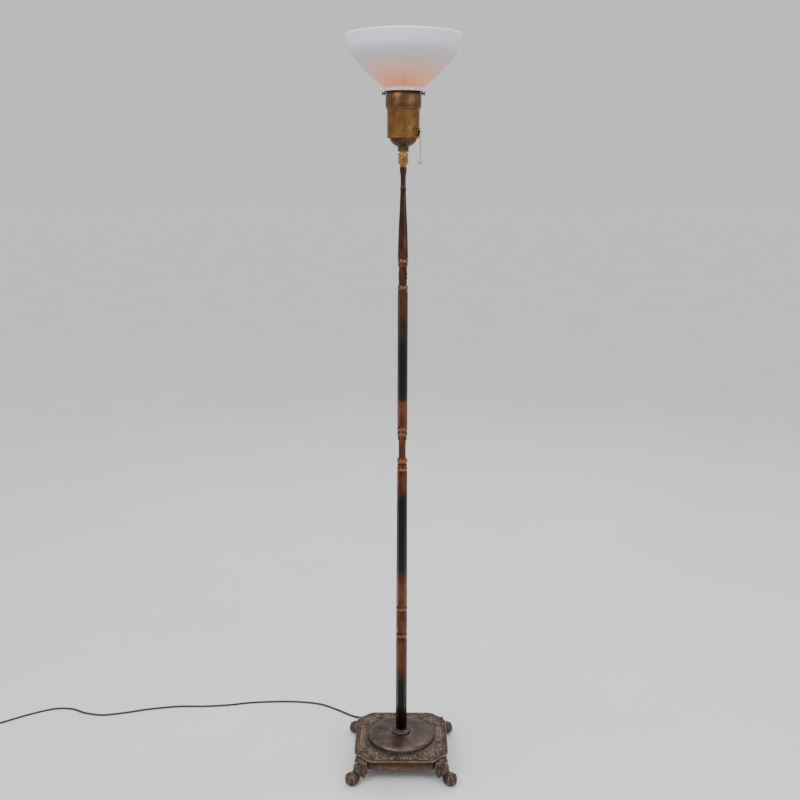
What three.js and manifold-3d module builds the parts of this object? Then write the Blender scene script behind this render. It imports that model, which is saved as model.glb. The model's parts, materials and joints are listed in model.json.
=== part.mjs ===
// Torchiere floor lamp: a cast chamfered base on four paw feet, a hexagonal sectioned column,
// a mogul pull-chain socket, an upturned milk-glass bowl and a flat twin cord.
// Units are millimetres, +Z is up, and the origin is on the floor under the column's axis.
import * as THREE from "three";
import { mergeVertices } from "three/addons/utils/BufferGeometryUtils.js";
import Module from "manifold-3d";

const wasm = await Module();
wasm.setup();

// ---------------------------------------------------------------- driving dimensions
const GAP = 0.3; // clearance between pieces that touch
const DATUM = 8; // height above the floor of the plane that heights above the paws are measured from

const BASE_WIDTH = 182; // across the flats of the chamfered square plate
const BASE_CHAMFER = 29; // leg of each cut corner
const PLATE_TOP = 38.5;
const PLATE_UNDER = 34.5;
const SKIRT_BOTTOM = 19;
const SKIRT_INSET = 1.5;
const SKIRT_WALL = 4;
const DOME_RADIUS = 64.5;
const DOME_TOP = 50.5;
const DOME_WALL = 4;

const PAW_RADIUS = 15.5;
const PAW_HALF_HEIGHT = 13;
const PAW_CENTRE = 11.8; // above the floor
const FOOT_SPREAD = 217; // across the outer faces of two neighbouring paws

const WEIGHT_RADIUS = 80;
const WEIGHT_HOLE = 30;
const WEIGHT_BOTTOM = 22;
const WEIGHT_TOP = 33;
const WEIGHT_SCREW_CIRCLE = 72;
const WEIGHT_SCREWS = 2;

const PIPE_RADIUS = 5.15; // 1/8 IP lamp pipe
const PIPE_BORE = 3.45;
const PIPE_BOTTOM = 36.5;
const PIPE_TOP = 1010;
const WASHER = { radius: 11, thickness: 1.5 };
const NUT = { corner: 9.8, height: 6 };

const COLUMN_TURN = THREE.MathUtils.degToRad(-4); // the hexagon isn't quite square to the base
const TUBE_WALL = 1.3;
const HEX_FLAT = Math.cos(Math.PI / 6); // across flats over across corners
const LOWER_TUBE = { bottom: 57.8, top: 247, corners: [22.3, 22.0] };
const LOWER_BREAK = { bottom: 247.3, top: 317.2 };
const MIDDLE_TUBE = { bottom: 317.5, top: 587.5, corners: [21.6, 19.4] };
const MIDDLE_BREAK = { bottom: 587.8, top: 674.7 };
const UPPER_TUBE = { bottom: 675, top: 923.7, corners: [19.3, 19.0] };
const UPPER_BREAK = { bottom: 924, top: 983.9 };
const SPINDLE = { bottom: 984.2, top: 1143.7, stud: 1159.7 };
const FERRULE = { bottom: 1144, top: 1148 };
const COUPLING = { bottom: 1148.3, top: 1168.7 };

const CAP = { bottom: 1170, hubTop: 1178.5, top: 1193 };
const SET_SCREW = { radius: 1.6, hole: 1.9, reach: 11 };
const SHELL = { bottom: 1193.3, top: 1240.2, radius: 28.5 };
const COLLAR = { bottom: 1240.5, top: 1270 };
const PORCELAIN = { bottom: 1197, cup: 1233, top: 1262, radius: 25.6 };
const CHAIN_AZIMUTH = THREE.MathUtils.degToRad(-28); // the chain leaves the shell at the front right
const LEVER_PIVOT = { out: 14, z: 1202.8 };
const SWITCH_SLOT = { halfWidth: 3.2, halfHeight: 6.2, rim: 1.1 };
const CHAIN_OUT = 33.8; // the chain's distance from the lamp's axis
const CONNECTOR = { bottom: 1200.8, top: 1206 };
const BEAD_RADIUS = 1.35;
const BEAD_PITCH = 3.57;
const BEADS = 11;
const CHAIN_TOP = 1199.8; // the first bead hangs from the connector on a link that isn't modelled
const BELL = { bottom: 1148.9, top: 1160.2, radius: 3.9 };

const NECK_RADIUS = 34.6; // the glass's fitter neck, outside
const NECK_BOTTOM = 1271.4;
const NECK_TOP = 1276.4;
const BOWL_RADIUS = 101.6; // an 8 inch bowl
const BOWL_RIM = 1365;
const BULB_RADIUS = 29.6;
const BULB_TOP = 1350;

const CORD_FLOOR_Z = 1.5; // height above the floor of the middle of the cord that lies on it
const BUSHING = { hole: 4.6, inner: 76 }; // hole radius in the skirt, and the bushing's inner end
const CORD_EXIT = { x: -57, y: 98, z: 25.5 }; // outer end of the base's cord bushing
const COIL_CENTRE = { x: -883, y: 53.3 };
const COIL_INNER = 24;
const COIL_OUTER = 41;
const COIL_BOTTOM = 1.2;
const COIL_TOP = 10;
const PLUG = { x: -921, back: 10.7, front: -17.3, width: 24, height: 12, z: 6.3 };
const BLADE = { width: 6.35, thickness: 1.5, length: 16, spacing: 12.7, seat: 8 };

// ---------------------------------------------------------------- materials
const metal = (color, roughness) => new THREE.MeshStandardMaterial({ color, roughness, metalness: 0.8 });
const plain = (color, roughness) => new THREE.MeshStandardMaterial({ color, roughness, metalness: 0 });
const BRONZE = metal(0x4a352c, 0.5);
const COPPER = metal(0x6b3a20, 0.4);
const IRON = plain(0x2b2a29, 0.8);
const STEEL = metal(0x9a9a98, 0.4);
const OLD_BRASS = metal(0x7a5426, 0.45);
const BRASS = metal(0xb58a45, 0.35);
const PORCELAIN_WHITE = plain(0xe8e4da, 0.3);
const FIBRE = plain(0x5a4632, 0.9);
const MILK_GLASS = plain(0xf0eeee, 0.2);
const BULB_WHITE = plain(0xf4f0e6, 0.3);
const BLACK_PVC = plain(0x101010, 0.5);

// ---------------------------------------------------------------- solids and meshes
function toSolid(geometry) {
  const bare = geometry.clone();
  bare.deleteAttribute("normal");
  bare.deleteAttribute("uv");
  const merged = mergeVertices(bare, 1e-4);
  return new wasm.Manifold(
    new wasm.Mesh({
      numProp: 3,
      vertProperties: new Float32Array(merged.attributes.position.array),
      triVerts: new Uint32Array(merged.index.array),
    }),
  );
}

function toGeometry(solid) {
  const mesh = solid.getMesh();
  const geometry = new THREE.BufferGeometry();
  geometry.setAttribute("position", new THREE.BufferAttribute(mesh.vertProperties, 3));
  geometry.setIndex(new THREE.BufferAttribute(mesh.triVerts, 1));
  geometry.computeVertexNormals();
  return geometry;
}

function cut(body, ...tools) {
  return toGeometry(tools.reduce((left, tool) => left.subtract(toSolid(tool)), toSolid(body)));
}

function join(body, ...others) {
  return toGeometry(others.reduce((sum, other) => sum.add(toSolid(other)), toSolid(body)));
}

// A profile of [radius, z] turned about the Z axis. A profile that leaves the axis closes on itself.
function turned(profile, segments = 16) {
  const points = profile.map(([r, z]) => new THREE.Vector2(r, z));
  if (points[0].x > 0) points.push(points[0].clone());
  if (THREE.ShapeUtils.area(points) < 0) points.reverse();
  return new THREE.LatheGeometry(points, segments).rotateX(Math.PI / 2);
}

function cylinder(radius, bottom, top, segments = 16) {
  return turned([[0, bottom], [radius, bottom], [radius, top], [0, top]], segments);
}

function ring(inner, outer, bottom, top, segments = 16) {
  return turned([[inner, bottom], [outer, bottom], [outer, top], [inner, top]], segments);
}

// An outline of [x, y] points, raised from z = bottom to z = top.
function raised(outline, bottom, top) {
  const shape = new THREE.Shape(outline.map(([x, y]) => new THREE.Vector2(x, y)));
  const geometry = new THREE.ExtrudeGeometry(shape, { depth: top - bottom, bevelEnabled: false });
  return geometry.translate(0, 0, bottom);
}

const box = (x, y, z) => new THREE.BoxGeometry(x, y, z);

// A hexagonal prism or taper with a flat facing the front, turned with the column.
function hexagon([lowCorners, highCorners], bottom, top) {
  const height = top - bottom;
  const geometry = new THREE.CylinderGeometry(highCorners / 2, lowCorners / 2, height, 6);
  geometry.rotateX(Math.PI / 2).rotateZ(Math.PI / 6 + COLUMN_TURN);
  return geometry.translate(0, 0, bottom + height / 2);
}

// A square with cut corners, `inset` inside the plate's edge.
function chamferedSquare(inset) {
  const half = BASE_WIDTH / 2 - inset;
  const flat = BASE_WIDTH / 2 - BASE_CHAMFER - inset * Math.tan(Math.PI / 8);
  return [
    [half, -flat], [half, flat], [flat, half], [-flat, half],
    [-half, flat], [-half, -flat], [-flat, -half], [flat, -half],
  ];
}

// A headed screw along +Z with its head's underside at z = 0.
function screw(shankRadius, length, headRadius, headHeight, segments = 10) {
  return turned([[0, -headHeight], [headRadius * 0.8, -headHeight], [headRadius, -headHeight * 0.5],
    [headRadius, 0], [shankRadius, 0], [shankRadius, length], [0, length]], segments);
}

// The flat twin cord's section: half its width along x, half its thickness along y.
const CORD_SECTION = [[2.7, -0.7], [2.7, 0.7], [1.35, 1.4], [-1.35, 1.4], [-2.7, 0.7], [-2.7, -0.7],
  [-1.35, -1.4], [1.35, -1.4]];

// A smooth curve whose frames keep a section's x axis level, so that the flat cord doesn't twist.
class LevelCurve extends THREE.CatmullRomCurve3 {
  computeFrenetFrames(steps) {
    const up = new THREE.Vector3(0, 0, 1);
    const frames = { tangents: [], normals: [], binormals: [] };
    let level = new THREE.Vector3(1, 0, 0);
    for (let i = 0; i <= steps; i += 1) {
      const tangent = this.getTangentAt(i / steps);
      const side = new THREE.Vector3().crossVectors(up, tangent);
      if (side.length() > 0.1) level = side.normalize();
      frames.tangents.push(tangent);
      frames.normals.push(level);
      frames.binormals.push(new THREE.Vector3().crossVectors(tangent, level).normalize());
    }
    return frames;
  }
}

function cordTube(points, steps) {
  const shape = new THREE.Shape(CORD_SECTION.map(([x, y]) => new THREE.Vector2(x, y)));
  const curve = new LevelCurve(points.map((p) => new THREE.Vector3(...p)), false, "centripetal");
  return new THREE.ExtrudeGeometry(shape, { steps, extrudePath: curve, bevelEnabled: false });
}

const lamp = new THREE.Group();
const standing = new THREE.Group(); // everything that stands on the paws
standing.position.z = DATUM;
lamp.add(standing);

function add(name, geometry, material, parent = standing) {
  const mesh = new THREE.Mesh(geometry, material);
  mesh.name = name;
  parent.add(mesh);
  return mesh;
}

// A group turned about Z, for pieces drawn along its own +X.
function facing(angle, parent = standing) {
  const group = new THREE.Group();
  group.rotation.z = angle;
  parent.add(group);
  return group;
}

// ---------------------------------------------------------------- base
const CORNER_ANGLES = [-135, -45, 45, 135].map(THREE.MathUtils.degToRad);
const CORNER_NAMES = ["front_left", "front_right", "back_right", "back_left"];
const CHAMFER_OUT = (BASE_WIDTH - BASE_CHAMFER) / Math.SQRT2; // axis to a cut corner's face
const SKIRT_OUT = CHAMFER_OUT - SKIRT_INSET;
const PAW_OUT = (FOOT_SPREAD / 2 - PAW_RADIUS) * Math.SQRT2;
const LEG_SCREW_Z = 27;
const LEG_SCREW_RADIUS = 2.2;
const WEIGHT_SCREW_RADIUS = 2.2;
const WEIGHT_SCREW_ANGLES = Array.from({ length: WEIGHT_SCREWS }, (_, i) => 2 * Math.PI * i / WEIGHT_SCREWS);
const SCREW_HEAD = 3;

function alongCorner(geometry, angle, out, z) {
  return geometry.rotateY(Math.PI / 2).translate(out, 0, z).rotateZ(angle);
}

function addBaseCasting() {
  const plate = raised(chamferedSquare(0), PLATE_UNDER, PLATE_TOP);
  const skirtOuter = raised(chamferedSquare(SKIRT_INSET), SKIRT_BOTTOM, PLATE_UNDER + 1);
  const dome = turned([[0, PLATE_UNDER], [DOME_RADIUS, PLATE_UNDER], [DOME_RADIUS, PLATE_TOP + 1],
    [63.6, 43.4], [60.6, 46.4], [55, 48.2], [42, 49.4], [24, 50.2], [20, DOME_TOP], [0, DOME_TOP]], 28);
  const cavity = raised(chamferedSquare(SKIRT_INSET + SKIRT_WALL), SKIRT_BOTTOM - 1, PLATE_UNDER);
  const domeInside = turned([[0, PLATE_UNDER - 1], [DOME_RADIUS - DOME_WALL, PLATE_UNDER - 1],
    [59, 40.4], [56, 43], [42, 45], [22, DOME_TOP - DOME_WALL], [0, DOME_TOP - DOME_WALL]], 28);
  const pipeHole = cylinder(PIPE_RADIUS + GAP, DOME_TOP - 8, DOME_TOP + 1);
  const legHoles = CORNER_ANGLES.map((angle) =>
    alongCorner(cylinder(LEG_SCREW_RADIUS + GAP, -8, 4, 10), angle, SKIRT_OUT, LEG_SCREW_Z));
  const weightHoles = WEIGHT_SCREW_ANGLES.map((angle) =>
    cylinder(WEIGHT_SCREW_RADIUS + GAP, PLATE_UNDER - 1, PLATE_TOP - 1.2, 10)
      .translate(WEIGHT_SCREW_CIRCLE, 0, 0).rotateZ(angle));
  const cordHole = cylinder(BUSHING.hole, -8, 8, 12).rotateX(Math.PI / 2)
    .translate(CORD_EXIT.x, BASE_WIDTH / 2 - SKIRT_INSET - SKIRT_WALL / 2, CORD_EXIT.z);
  const casting = join(plate, skirtOuter, dome);
  const openings = [cavity, domeInside, pipeHole, ...legHoles, ...weightHoles, cordHole];
  add("base_casting", cut(casting, ...openings), BRONZE);
}

function addLegs() {
  const inner = SKIRT_OUT + GAP;
  const underPlate = PLATE_UNDER - GAP;
  const besidePlate = CHAMFER_OUT + GAP;
  const pawCentre = PAW_CENTRE - DATUM;
  const kneeSide = [[inner, 12], [inner, underPlate], [besidePlate, underPlate], [besidePlate, 36.8],
    [113, 36], [119, 32], [122, 26], [124, 6], [117, 3]];
  CORNER_ANGLES.forEach((angle, i) => {
    const knee = raised(kneeSide, -13, 13).rotateX(Math.PI / 2);
    const wedge = [[inner, -18], [inner + 3, -18], [126, -3], [126, 3], [inner + 3, 18], [inner, 18]];
    const corner = raised(wedge, 0, 40);
    const shapedKnee = toGeometry(toSolid(knee).intersect(toSolid(corner)));
    const paw = new THREE.SphereGeometry(PAW_RADIUS, 16, 8).rotateX(Math.PI / 2)
      .scale(1, 1, PAW_HALF_HEIGHT / PAW_RADIUS).rotateZ(-angle).translate(PAW_OUT, 0, pawCentre);
    const belowFloor = box(60, 60, 20).translate(PAW_OUT, 0, -10 - DATUM);
    const screwHole = cylinder(LEG_SCREW_RADIUS + GAP, -2, 9.5, 10).rotateY(Math.PI / 2)
      .translate(inner, 0, LEG_SCREW_Z);
    const leg = cut(join(shapedKnee, paw), belowFloor, screwHole);
    add(`leg_${CORNER_NAMES[i]}`, leg, BRONZE, facing(angle));
    const legScrew = screw(LEG_SCREW_RADIUS, 12.8, 4, SCREW_HEAD);
    add(`leg_screw_${CORNER_NAMES[i]}`,
      alongCorner(legScrew, angle, SKIRT_OUT - SKIRT_WALL - GAP, LEG_SCREW_Z), STEEL);
  });
}

function addWeight() {
  const slotFrom = new THREE.Vector2(CORD_EXIT.x, WEIGHT_RADIUS);
  const slotTo = new THREE.Vector2(-14, 14);
  const slotMiddle = slotFrom.clone().add(slotTo).divideScalar(2);
  const slot = box(slotFrom.distanceTo(slotTo) + 16, 14, 40).rotateZ(slotTo.clone().sub(slotFrom).angle())
    .translate(slotMiddle.x, slotMiddle.y, CORD_EXIT.z);
  const holes = WEIGHT_SCREW_ANGLES.map((angle) =>
    cylinder(WEIGHT_SCREW_RADIUS + GAP, 10, 50, 10).translate(WEIGHT_SCREW_CIRCLE, 0, 0).rotateZ(angle));
  const disc = ring(WEIGHT_HOLE, WEIGHT_RADIUS, WEIGHT_BOTTOM, WEIGHT_TOP, 32);
  add("base_weight", cut(disc, slot, ...holes), IRON);
  WEIGHT_SCREW_ANGLES.forEach((angle, i) => {
    const length = PLATE_TOP - 1.6 - WEIGHT_BOTTOM;
    const weightScrew = screw(WEIGHT_SCREW_RADIUS, length, 4.2, SCREW_HEAD);
    add(`weight_screw_${i + 1}`, weightScrew, STEEL, facing(angle))
      .position.set(WEIGHT_SCREW_CIRCLE, 0, WEIGHT_BOTTOM - GAP);
  });
}

// ---------------------------------------------------------------- column
function hexTube(tube) {
  const reach = Math.min(...tube.corners) / 2 * HEX_FLAT - TUBE_WALL;
  return cut(hexagon(tube.corners, tube.bottom, tube.top), cylinder(reach, tube.bottom - 1, tube.top + 1));
}

// A turned break: [radius, z] outline from bottom to top, bored for the pipe.
function breakPiece(outline, segments = 16) {
  const bore = PIPE_RADIUS + GAP;
  const low = outline[0][1];
  const high = outline[outline.length - 1][1];
  return turned([[bore, low], ...outline, [bore, high]], segments);
}

// A half-round bead of the given outer radius between two groove floors.
function bead(radius, groove, bottom, top) {
  const shoulder = (top - bottom) / 4;
  return [[groove, bottom], [radius, bottom + shoulder], [radius, top - shoulder], [groove, top]];
}

function addColumn() {
  add("lamp_pipe", ring(PIPE_BORE, PIPE_RADIUS, PIPE_BOTTOM, PIPE_TOP, 12), STEEL);
  const bore = PIPE_RADIUS + GAP;
  const washerTop = DOME_TOP - DOME_WALL - GAP;
  const nutTop = washerTop - WASHER.thickness - GAP;
  add("lock_washer", ring(bore, WASHER.radius, washerTop - WASHER.thickness, washerTop), STEEL);
  const nut = new THREE.CylinderGeometry(NUT.corner, NUT.corner, NUT.height, 6).rotateX(Math.PI / 2)
    .translate(0, 0, nutTop - NUT.height / 2);
  add("lock_nut", cut(nut, cylinder(bore, nutTop - 2 * NUT.height, nutTop + NUT.height)), STEEL);
  const seat = DOME_TOP + GAP;
  const ringTop = LOWER_TUBE.bottom - GAP;
  add("seating_ring", turned([[bore, seat], [18.6, seat], [19.5, 52.4], [19.2, 54.4], [17.2, 55.8],
    [13.4, 56.3], [12.8, ringTop], [bore, ringTop]], 24), BRONZE);

  add("lower_tube", hexTube(LOWER_TUBE), COPPER);
  const lowerBody = breakPiece([[9.2, LOWER_BREAK.bottom],
    ...bead(11.1, 9.2, LOWER_BREAK.bottom + 3.6, 262.4), ...bead(11.1, 9.2, 306.8, LOWER_BREAK.top)]);
  const lowerHex = hexagon([21.8, 21.8], 263, 306);
  const lowerFoot = hexagon([22, 22], LOWER_BREAK.bottom, 250.4);
  const boreThrough = cylinder(PIPE_RADIUS + GAP, 200, 400);
  add("lower_break", cut(join(lowerBody, lowerHex, lowerFoot), boreThrough), COPPER);

  add("middle_tube", hexTube(MIDDLE_TUBE), COPPER);
  const middleBody = breakPiece([...bead(9.9, 8.4, MIDDLE_BREAK.bottom, 602.4), ...bead(9.9, 6.9, 602.8, 613),
    [6.8, 614], [6.8, 646.6], ...bead(8.6, 7.2, 647.2, 654.6), ...bead(9.6, 8.2, 655, 664.2),
    ...bead(9.6, 8.4, 664.6, MIDDLE_BREAK.top)]);
  add("middle_break", middleBody, COPPER);

  add("upper_tube", hexTube(UPPER_TUBE), COPPER);
  const upperBody = breakPiece([[8.2, UPPER_BREAK.bottom],
    ...bead(9.4, 8.2, UPPER_BREAK.bottom + 3.2, 935.9), [7.5, 937.2], [7.5, 968.6], [9.3, 971], [9.3, 973.4],
    [8, 974.4], ...bead(9.6, 8.2, 975, UPPER_BREAK.top)]);
  add("upper_break", upperBody, COPPER);

  const studBore = 3.4;
  const socketed = PIPE_RADIUS + GAP;
  add("top_spindle", turned([[socketed, SPINDLE.bottom], [9.4, SPINDLE.bottom], [9.4, 990], [8.3, 1030],
    [6.7, 1061], [5, 1100], [4.9, 1103.4], [5.5, 1105], [5.5, 1108], [4.8, 1109.6], [4.7, 1120], [5, 1130],
    [6.2, 1137], [6.2, SPINDLE.top], [4.5, SPINDLE.top], [4.5, SPINDLE.stud], [studBore, SPINDLE.stud],
    [studBore, PIPE_TOP + 2], [socketed, PIPE_TOP + 2]], 12), COPPER);
  add("spindle_ferrule", ring(4.8, 6.3, FERRULE.bottom, FERRULE.top, 18), COPPER);
  add("knurled_coupling", turned([[4.8, COUPLING.bottom], [7.6, COUPLING.bottom], [9, 1150], [9, 1160.5],
    [8.2, 1161.4], [8.2, 1162.4], [8.9, 1163.4], [8.9, 1167], [8, COUPLING.top], [5.5, COUPLING.top],
    [5.5, 1160.6], [4.8, 1160.6]], 18), BRASS);
  add("socket_nipple", ring(PIPE_BORE, PIPE_RADIUS, 1161, 1181, 12), STEEL);
}

// ---------------------------------------------------------------- socket
const SHELL_WALL = 1;
const COLLAR_OUTLINE = [[28.6, COLLAR.bottom], [29.6, 1242.2], [31.2, 1247.4], [31.5, 1256], [31, 1263],
  [29.4, 1268.6], [28.9, COLLAR.top]];
const chainGroup = facing(CHAIN_AZIMUTH);

// The oval slot that the lever works in, as an outline in the tangent plane of the shell.
function slotOutline(halfWidth, halfHeight) {
  const corner = halfHeight - halfWidth;
  const points = [];
  for (let i = 0; i <= 6; i += 1) {
    const a = Math.PI * i / 6;
    points.push([halfWidth * Math.cos(a), corner + halfWidth * Math.sin(a)]);
  }
  return [...points, ...points.map(([x, y]) => [-x, -y])];
}

// A bar of the slot's shape, grown by a margin, that runs out along +X from x = from to x = to.
function slotBar(margin, from, to) {
  const outline = slotOutline(SWITCH_SLOT.halfWidth + margin, SWITCH_SLOT.halfHeight + margin);
  return raised(outline, from, to).rotateZ(Math.PI / 2).rotateY(Math.PI / 2).translate(0, 0, LEVER_PIVOT.z);
}

function addSocket() {
  const hub = PIPE_RADIUS + GAP;
  const capShell = turned([[hub, CAP.bottom], [9.4, CAP.bottom], [9.8, CAP.hubTop], [15, 1181],
    [20.6, 1185.6], [23.2, 1190], [23.9, CAP.top], [22.7, CAP.top], [21.9, 1190.4], [19.6, 1187],
    [14.4, 1182.6], [8, 1180.4], [hub, 1180.4]], 20);
  const backward = (radius, from, to) => cylinder(radius, from, to, 10).rotateX(-Math.PI / 2)
    .translate(0, 0, (CAP.bottom + CAP.hubTop) / 2);
  add("socket_cap", cut(capShell, backward(SET_SCREW.hole, 0, 12)), OLD_BRASS);
  add("cap_set_screw", backward(SET_SCREW.radius, hub + GAP, SET_SCREW.reach), STEEL);

  const slotCut = () => slotBar(0, 20, 40).rotateZ(CHAIN_AZIMUTH);
  const inner = SHELL.radius - SHELL_WALL;
  const shellTube = turned([[inner, SHELL.bottom], [SHELL.radius + 0.4, SHELL.bottom],
    [SHELL.radius + 0.4, 1195], [SHELL.radius, 1195.6], [SHELL.radius, SHELL.top - 2],
    [SHELL.radius + 0.5, SHELL.top - 1], [SHELL.radius + 0.5, SHELL.top], [inner, SHELL.top]], 24);
  add("socket_shell", cut(shellTube, slotCut()), OLD_BRASS);
  const collarInner = [...COLLAR_OUTLINE].reverse().map(([r, z]) => [r - 1.2, z]);
  add("socket_collar", turned([...COLLAR_OUTLINE, ...collarInner], 20), OLD_BRASS);
  add("insulating_liner", cut(ring(26, 27.1, 1198.4, 1240, 20), slotCut()), FIBRE);

  const cup = turned([[0, PORCELAIN.bottom], [PORCELAIN.radius, PORCELAIN.bottom],
    [PORCELAIN.radius, PORCELAIN.top], [21, PORCELAIN.top], [21, PORCELAIN.cup], [0, PORCELAIN.cup]], 20);
  const pocket = box(24, 15, 40).translate(19, 0, 1209.6).rotateZ(CHAIN_AZIMUTH);
  const terminals = [-1, 1].map((side) =>
    cylinder(1.8, 1190, 1203, 8).translate(11 * side, 15, 0));
  add("porcelain_body", cut(cup, pocket, ...terminals), PORCELAIN_WHITE);
  [-1, 1].forEach((side, i) => {
    add(`terminal_screw_${i + 1}`, screw(1.5, 5.5, 3.2, 1.6, 8), BRASS)
      .position.set(11 * side, 15, PORCELAIN.bottom - GAP);
  });
  const sleeve = turned([[9, 1233.3], [20.4, 1233.3], [20.4, 1266], [19.7, 1266], [19.7, 1234.2],
    [9, 1234.2]], 20);
  add("screw_shell", sleeve, BRASS);
  add("centre_contact", cylinder(5, PORCELAIN.cup + GAP, 1235, 12), BRASS);
}

// ---------------------------------------------------------------- pull switch and chain
function addSwitch() {
  const flange = slotBar(SWITCH_SLOT.rim, SHELL.radius - 0.7, SHELL.radius + 1.9);
  const besideShell = cylinder(SHELL.radius + GAP, SHELL.bottom - 10, SHELL.top, 48);
  add("chain_bushing", cut(flange, slotBar(0, 20, 40), besideShell), OLD_BRASS, chainGroup);

  // The lever runs from its pivot out through the slot, to hold the chain's connector.
  const reach = CHAIN_OUT - LEVER_PIVOT.out;
  const rise = THREE.MathUtils.degToRad(16);
  const slant = reach / Math.cos(rise);
  const arm = box(slant + 1, 2.2, 2.2).translate(slant / 2, 0, 0).rotateY(-rise);
  const hub = cylinder(3.4, -1.6, 1.6, 12).rotateX(Math.PI / 2);
  add("pull_lever", join(hub, arm), STEEL, chainGroup).position.set(LEVER_PIVOT.out, 0, LEVER_PIVOT.z);

  const teeth = 8;
  const wheelOutline = [];
  for (let i = 0; i < teeth; i += 1) {
    const a = 2 * Math.PI * i / teeth;
    const b = a + 2 * Math.PI / teeth * 0.85;
    wheelOutline.push([5.2 * Math.cos(a), 5.2 * Math.sin(a)], [6.6 * Math.cos(b), 6.6 * Math.sin(b)]);
  }
  const wheel = raised(wheelOutline, 2.2, 4.6).rotateX(Math.PI / 2);
  add("ratchet_wheel", wheel, FIBRE, chainGroup).position.set(LEVER_PIVOT.out, 0, LEVER_PIVOT.z);

  const connector = turned([[0, CONNECTOR.bottom], [1.2, CONNECTOR.bottom], [1.7, CONNECTOR.bottom + 1.4],
    [1.7, CONNECTOR.top - 1.6], [1, CONNECTOR.top], [0, CONNECTOR.top]], 10);
  add("chain_connector", connector, BRASS, chainGroup).position.x = CHAIN_OUT;
  const neck = 0.6;
  const beadProfile = [[0, CHAIN_TOP - BEADS * BEAD_PITCH]];
  for (let i = 0; i < BEADS; i += 1) {
    const low = beadProfile[0][1] + i * BEAD_PITCH;
    beadProfile.push([neck, low], [BEAD_RADIUS, low + 1], [BEAD_RADIUS, low + 2], [neck, low + 3]);
  }
  beadProfile.push([0, CHAIN_TOP]);
  add("pull_chain", turned(beadProfile, 6), BRASS, chainGroup).position.x = CHAIN_OUT;
  const bell = turned([[0, BELL.bottom], [2.6, BELL.bottom], [BELL.radius, 1150.4], [BELL.radius, 1151.6],
    [2.9, 1153.8], [2.3, 1156.6], [2, 1159], [1.2, BELL.top], [0, BELL.top]], 12);
  add("bell_pull", bell, BRASS, chainGroup).position.x = CHAIN_OUT;
}

// ---------------------------------------------------------------- shade holder, bowl and bulb
const HOLDER_SCREW_Z = 1268.2;
const HOLDER = { floor: 1270.4, outer: 33.8, inner: 28 };
const SPIGOT = { top: 1278, inner: 29.6, outer: 30.4 };

function addHolder() {
  const seat = NECK_BOTTOM - GAP;
  const holderRing = turned([[HOLDER.inner, HOLDER.floor], [HOLDER.outer, HOLDER.floor],
    [HOLDER.outer, seat], [SPIGOT.outer, seat], [SPIGOT.outer, SPIGOT.top], [SPIGOT.inner, SPIGOT.top],
    [SPIGOT.inner, 1272], [HOLDER.inner, 1272]], 28);
  const ears = [-1, 1].map((side) => box(1.4, 9, 8).translate(side * 32.9, 0, HOLDER.floor - 3.4));
  const holes = [-1, 1].map((side) =>
    cylinder(1.9, -4, 4, 10).rotateY(Math.PI / 2).translate(side * 32.9, 0, HOLDER_SCREW_Z));
  add("shade_holder", cut(join(holderRing, ...ears), ...holes), OLD_BRASS);
  [["left", Math.PI], ["right", 0]].forEach(([side, angle]) => {
    const thumb = turned([[0, 29.9], [1.5, 29.9], [1.5, 35.2], [3.5, 35.2], [3.5, 37.1], [2.9, 37.5],
      [0, 37.5]], 12);
    const group = facing(angle);
    add(`holder_screw_${side}`, thumb.rotateY(Math.PI / 2), OLD_BRASS, group).position.z = HOLDER_SCREW_Z;
  });
}

function addBowl() {
  const outside = [[NECK_RADIUS, NECK_BOTTOM], [NECK_RADIUS, NECK_TOP], [49.2, 1288.8], [61.2, 1299.8],
    [71.4, 1310.4], [83.8, 1324.8], [90.2, 1332.6], [94.7, 1340], [98.4, 1352.6], [BOWL_RADIUS - 0.6, 1361.4],
    [BOWL_RADIUS, 1363.4], [BOWL_RADIUS - 0.8, 1364.7]];
  const inside = [[98.6, BOWL_RIM], [97.4, 1362.6], [95.2, 1353.4], [91.4, 1341.6], [87.2, 1334.4],
    [81, 1327], [68.6, 1312.4], [58.6, 1302], [46.8, 1291], [31.6, 1278.8], [31.4, NECK_BOTTOM]];
  add("glass_bowl", turned([...outside, ...inside], 32), MILK_GLASS);
}

function addBulb() {
  const capTop = 1270;
  add("bulb_base", turned([[0, 1235.6], [4, 1235.6], [5, 1237], [12, 1239], [19, 1243], [19.2, 1246],
    [19.2, capTop - 2], [18.6, capTop], [0, capTop]], 16), BRASS);
  const middle = BULB_TOP - BULB_RADIUS;
  const outside = [[15, capTop + GAP], [16.4, 1276], [19.6, 1288], [24.8, 1300], [28.4, 1310],
    [BULB_RADIUS, middle]];
  for (let i = 1; i < 6; i += 1) {
    const a = Math.PI / 2 * i / 6;
    outside.push([BULB_RADIUS * Math.cos(a), middle + BULB_RADIUS * Math.sin(a)]);
  }
  const wall = 1.2;
  const insideTop = BULB_TOP - wall * 2;
  const inside = outside.map(([r, z]) => [Math.max(r - wall, 1), Math.min(z, insideTop)]);
  add("bulb_glass", turned([[0, BULB_TOP], ...outside.reverse(), ...inside, [0, insideTop]], 16), BULB_WHITE);
}

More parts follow.
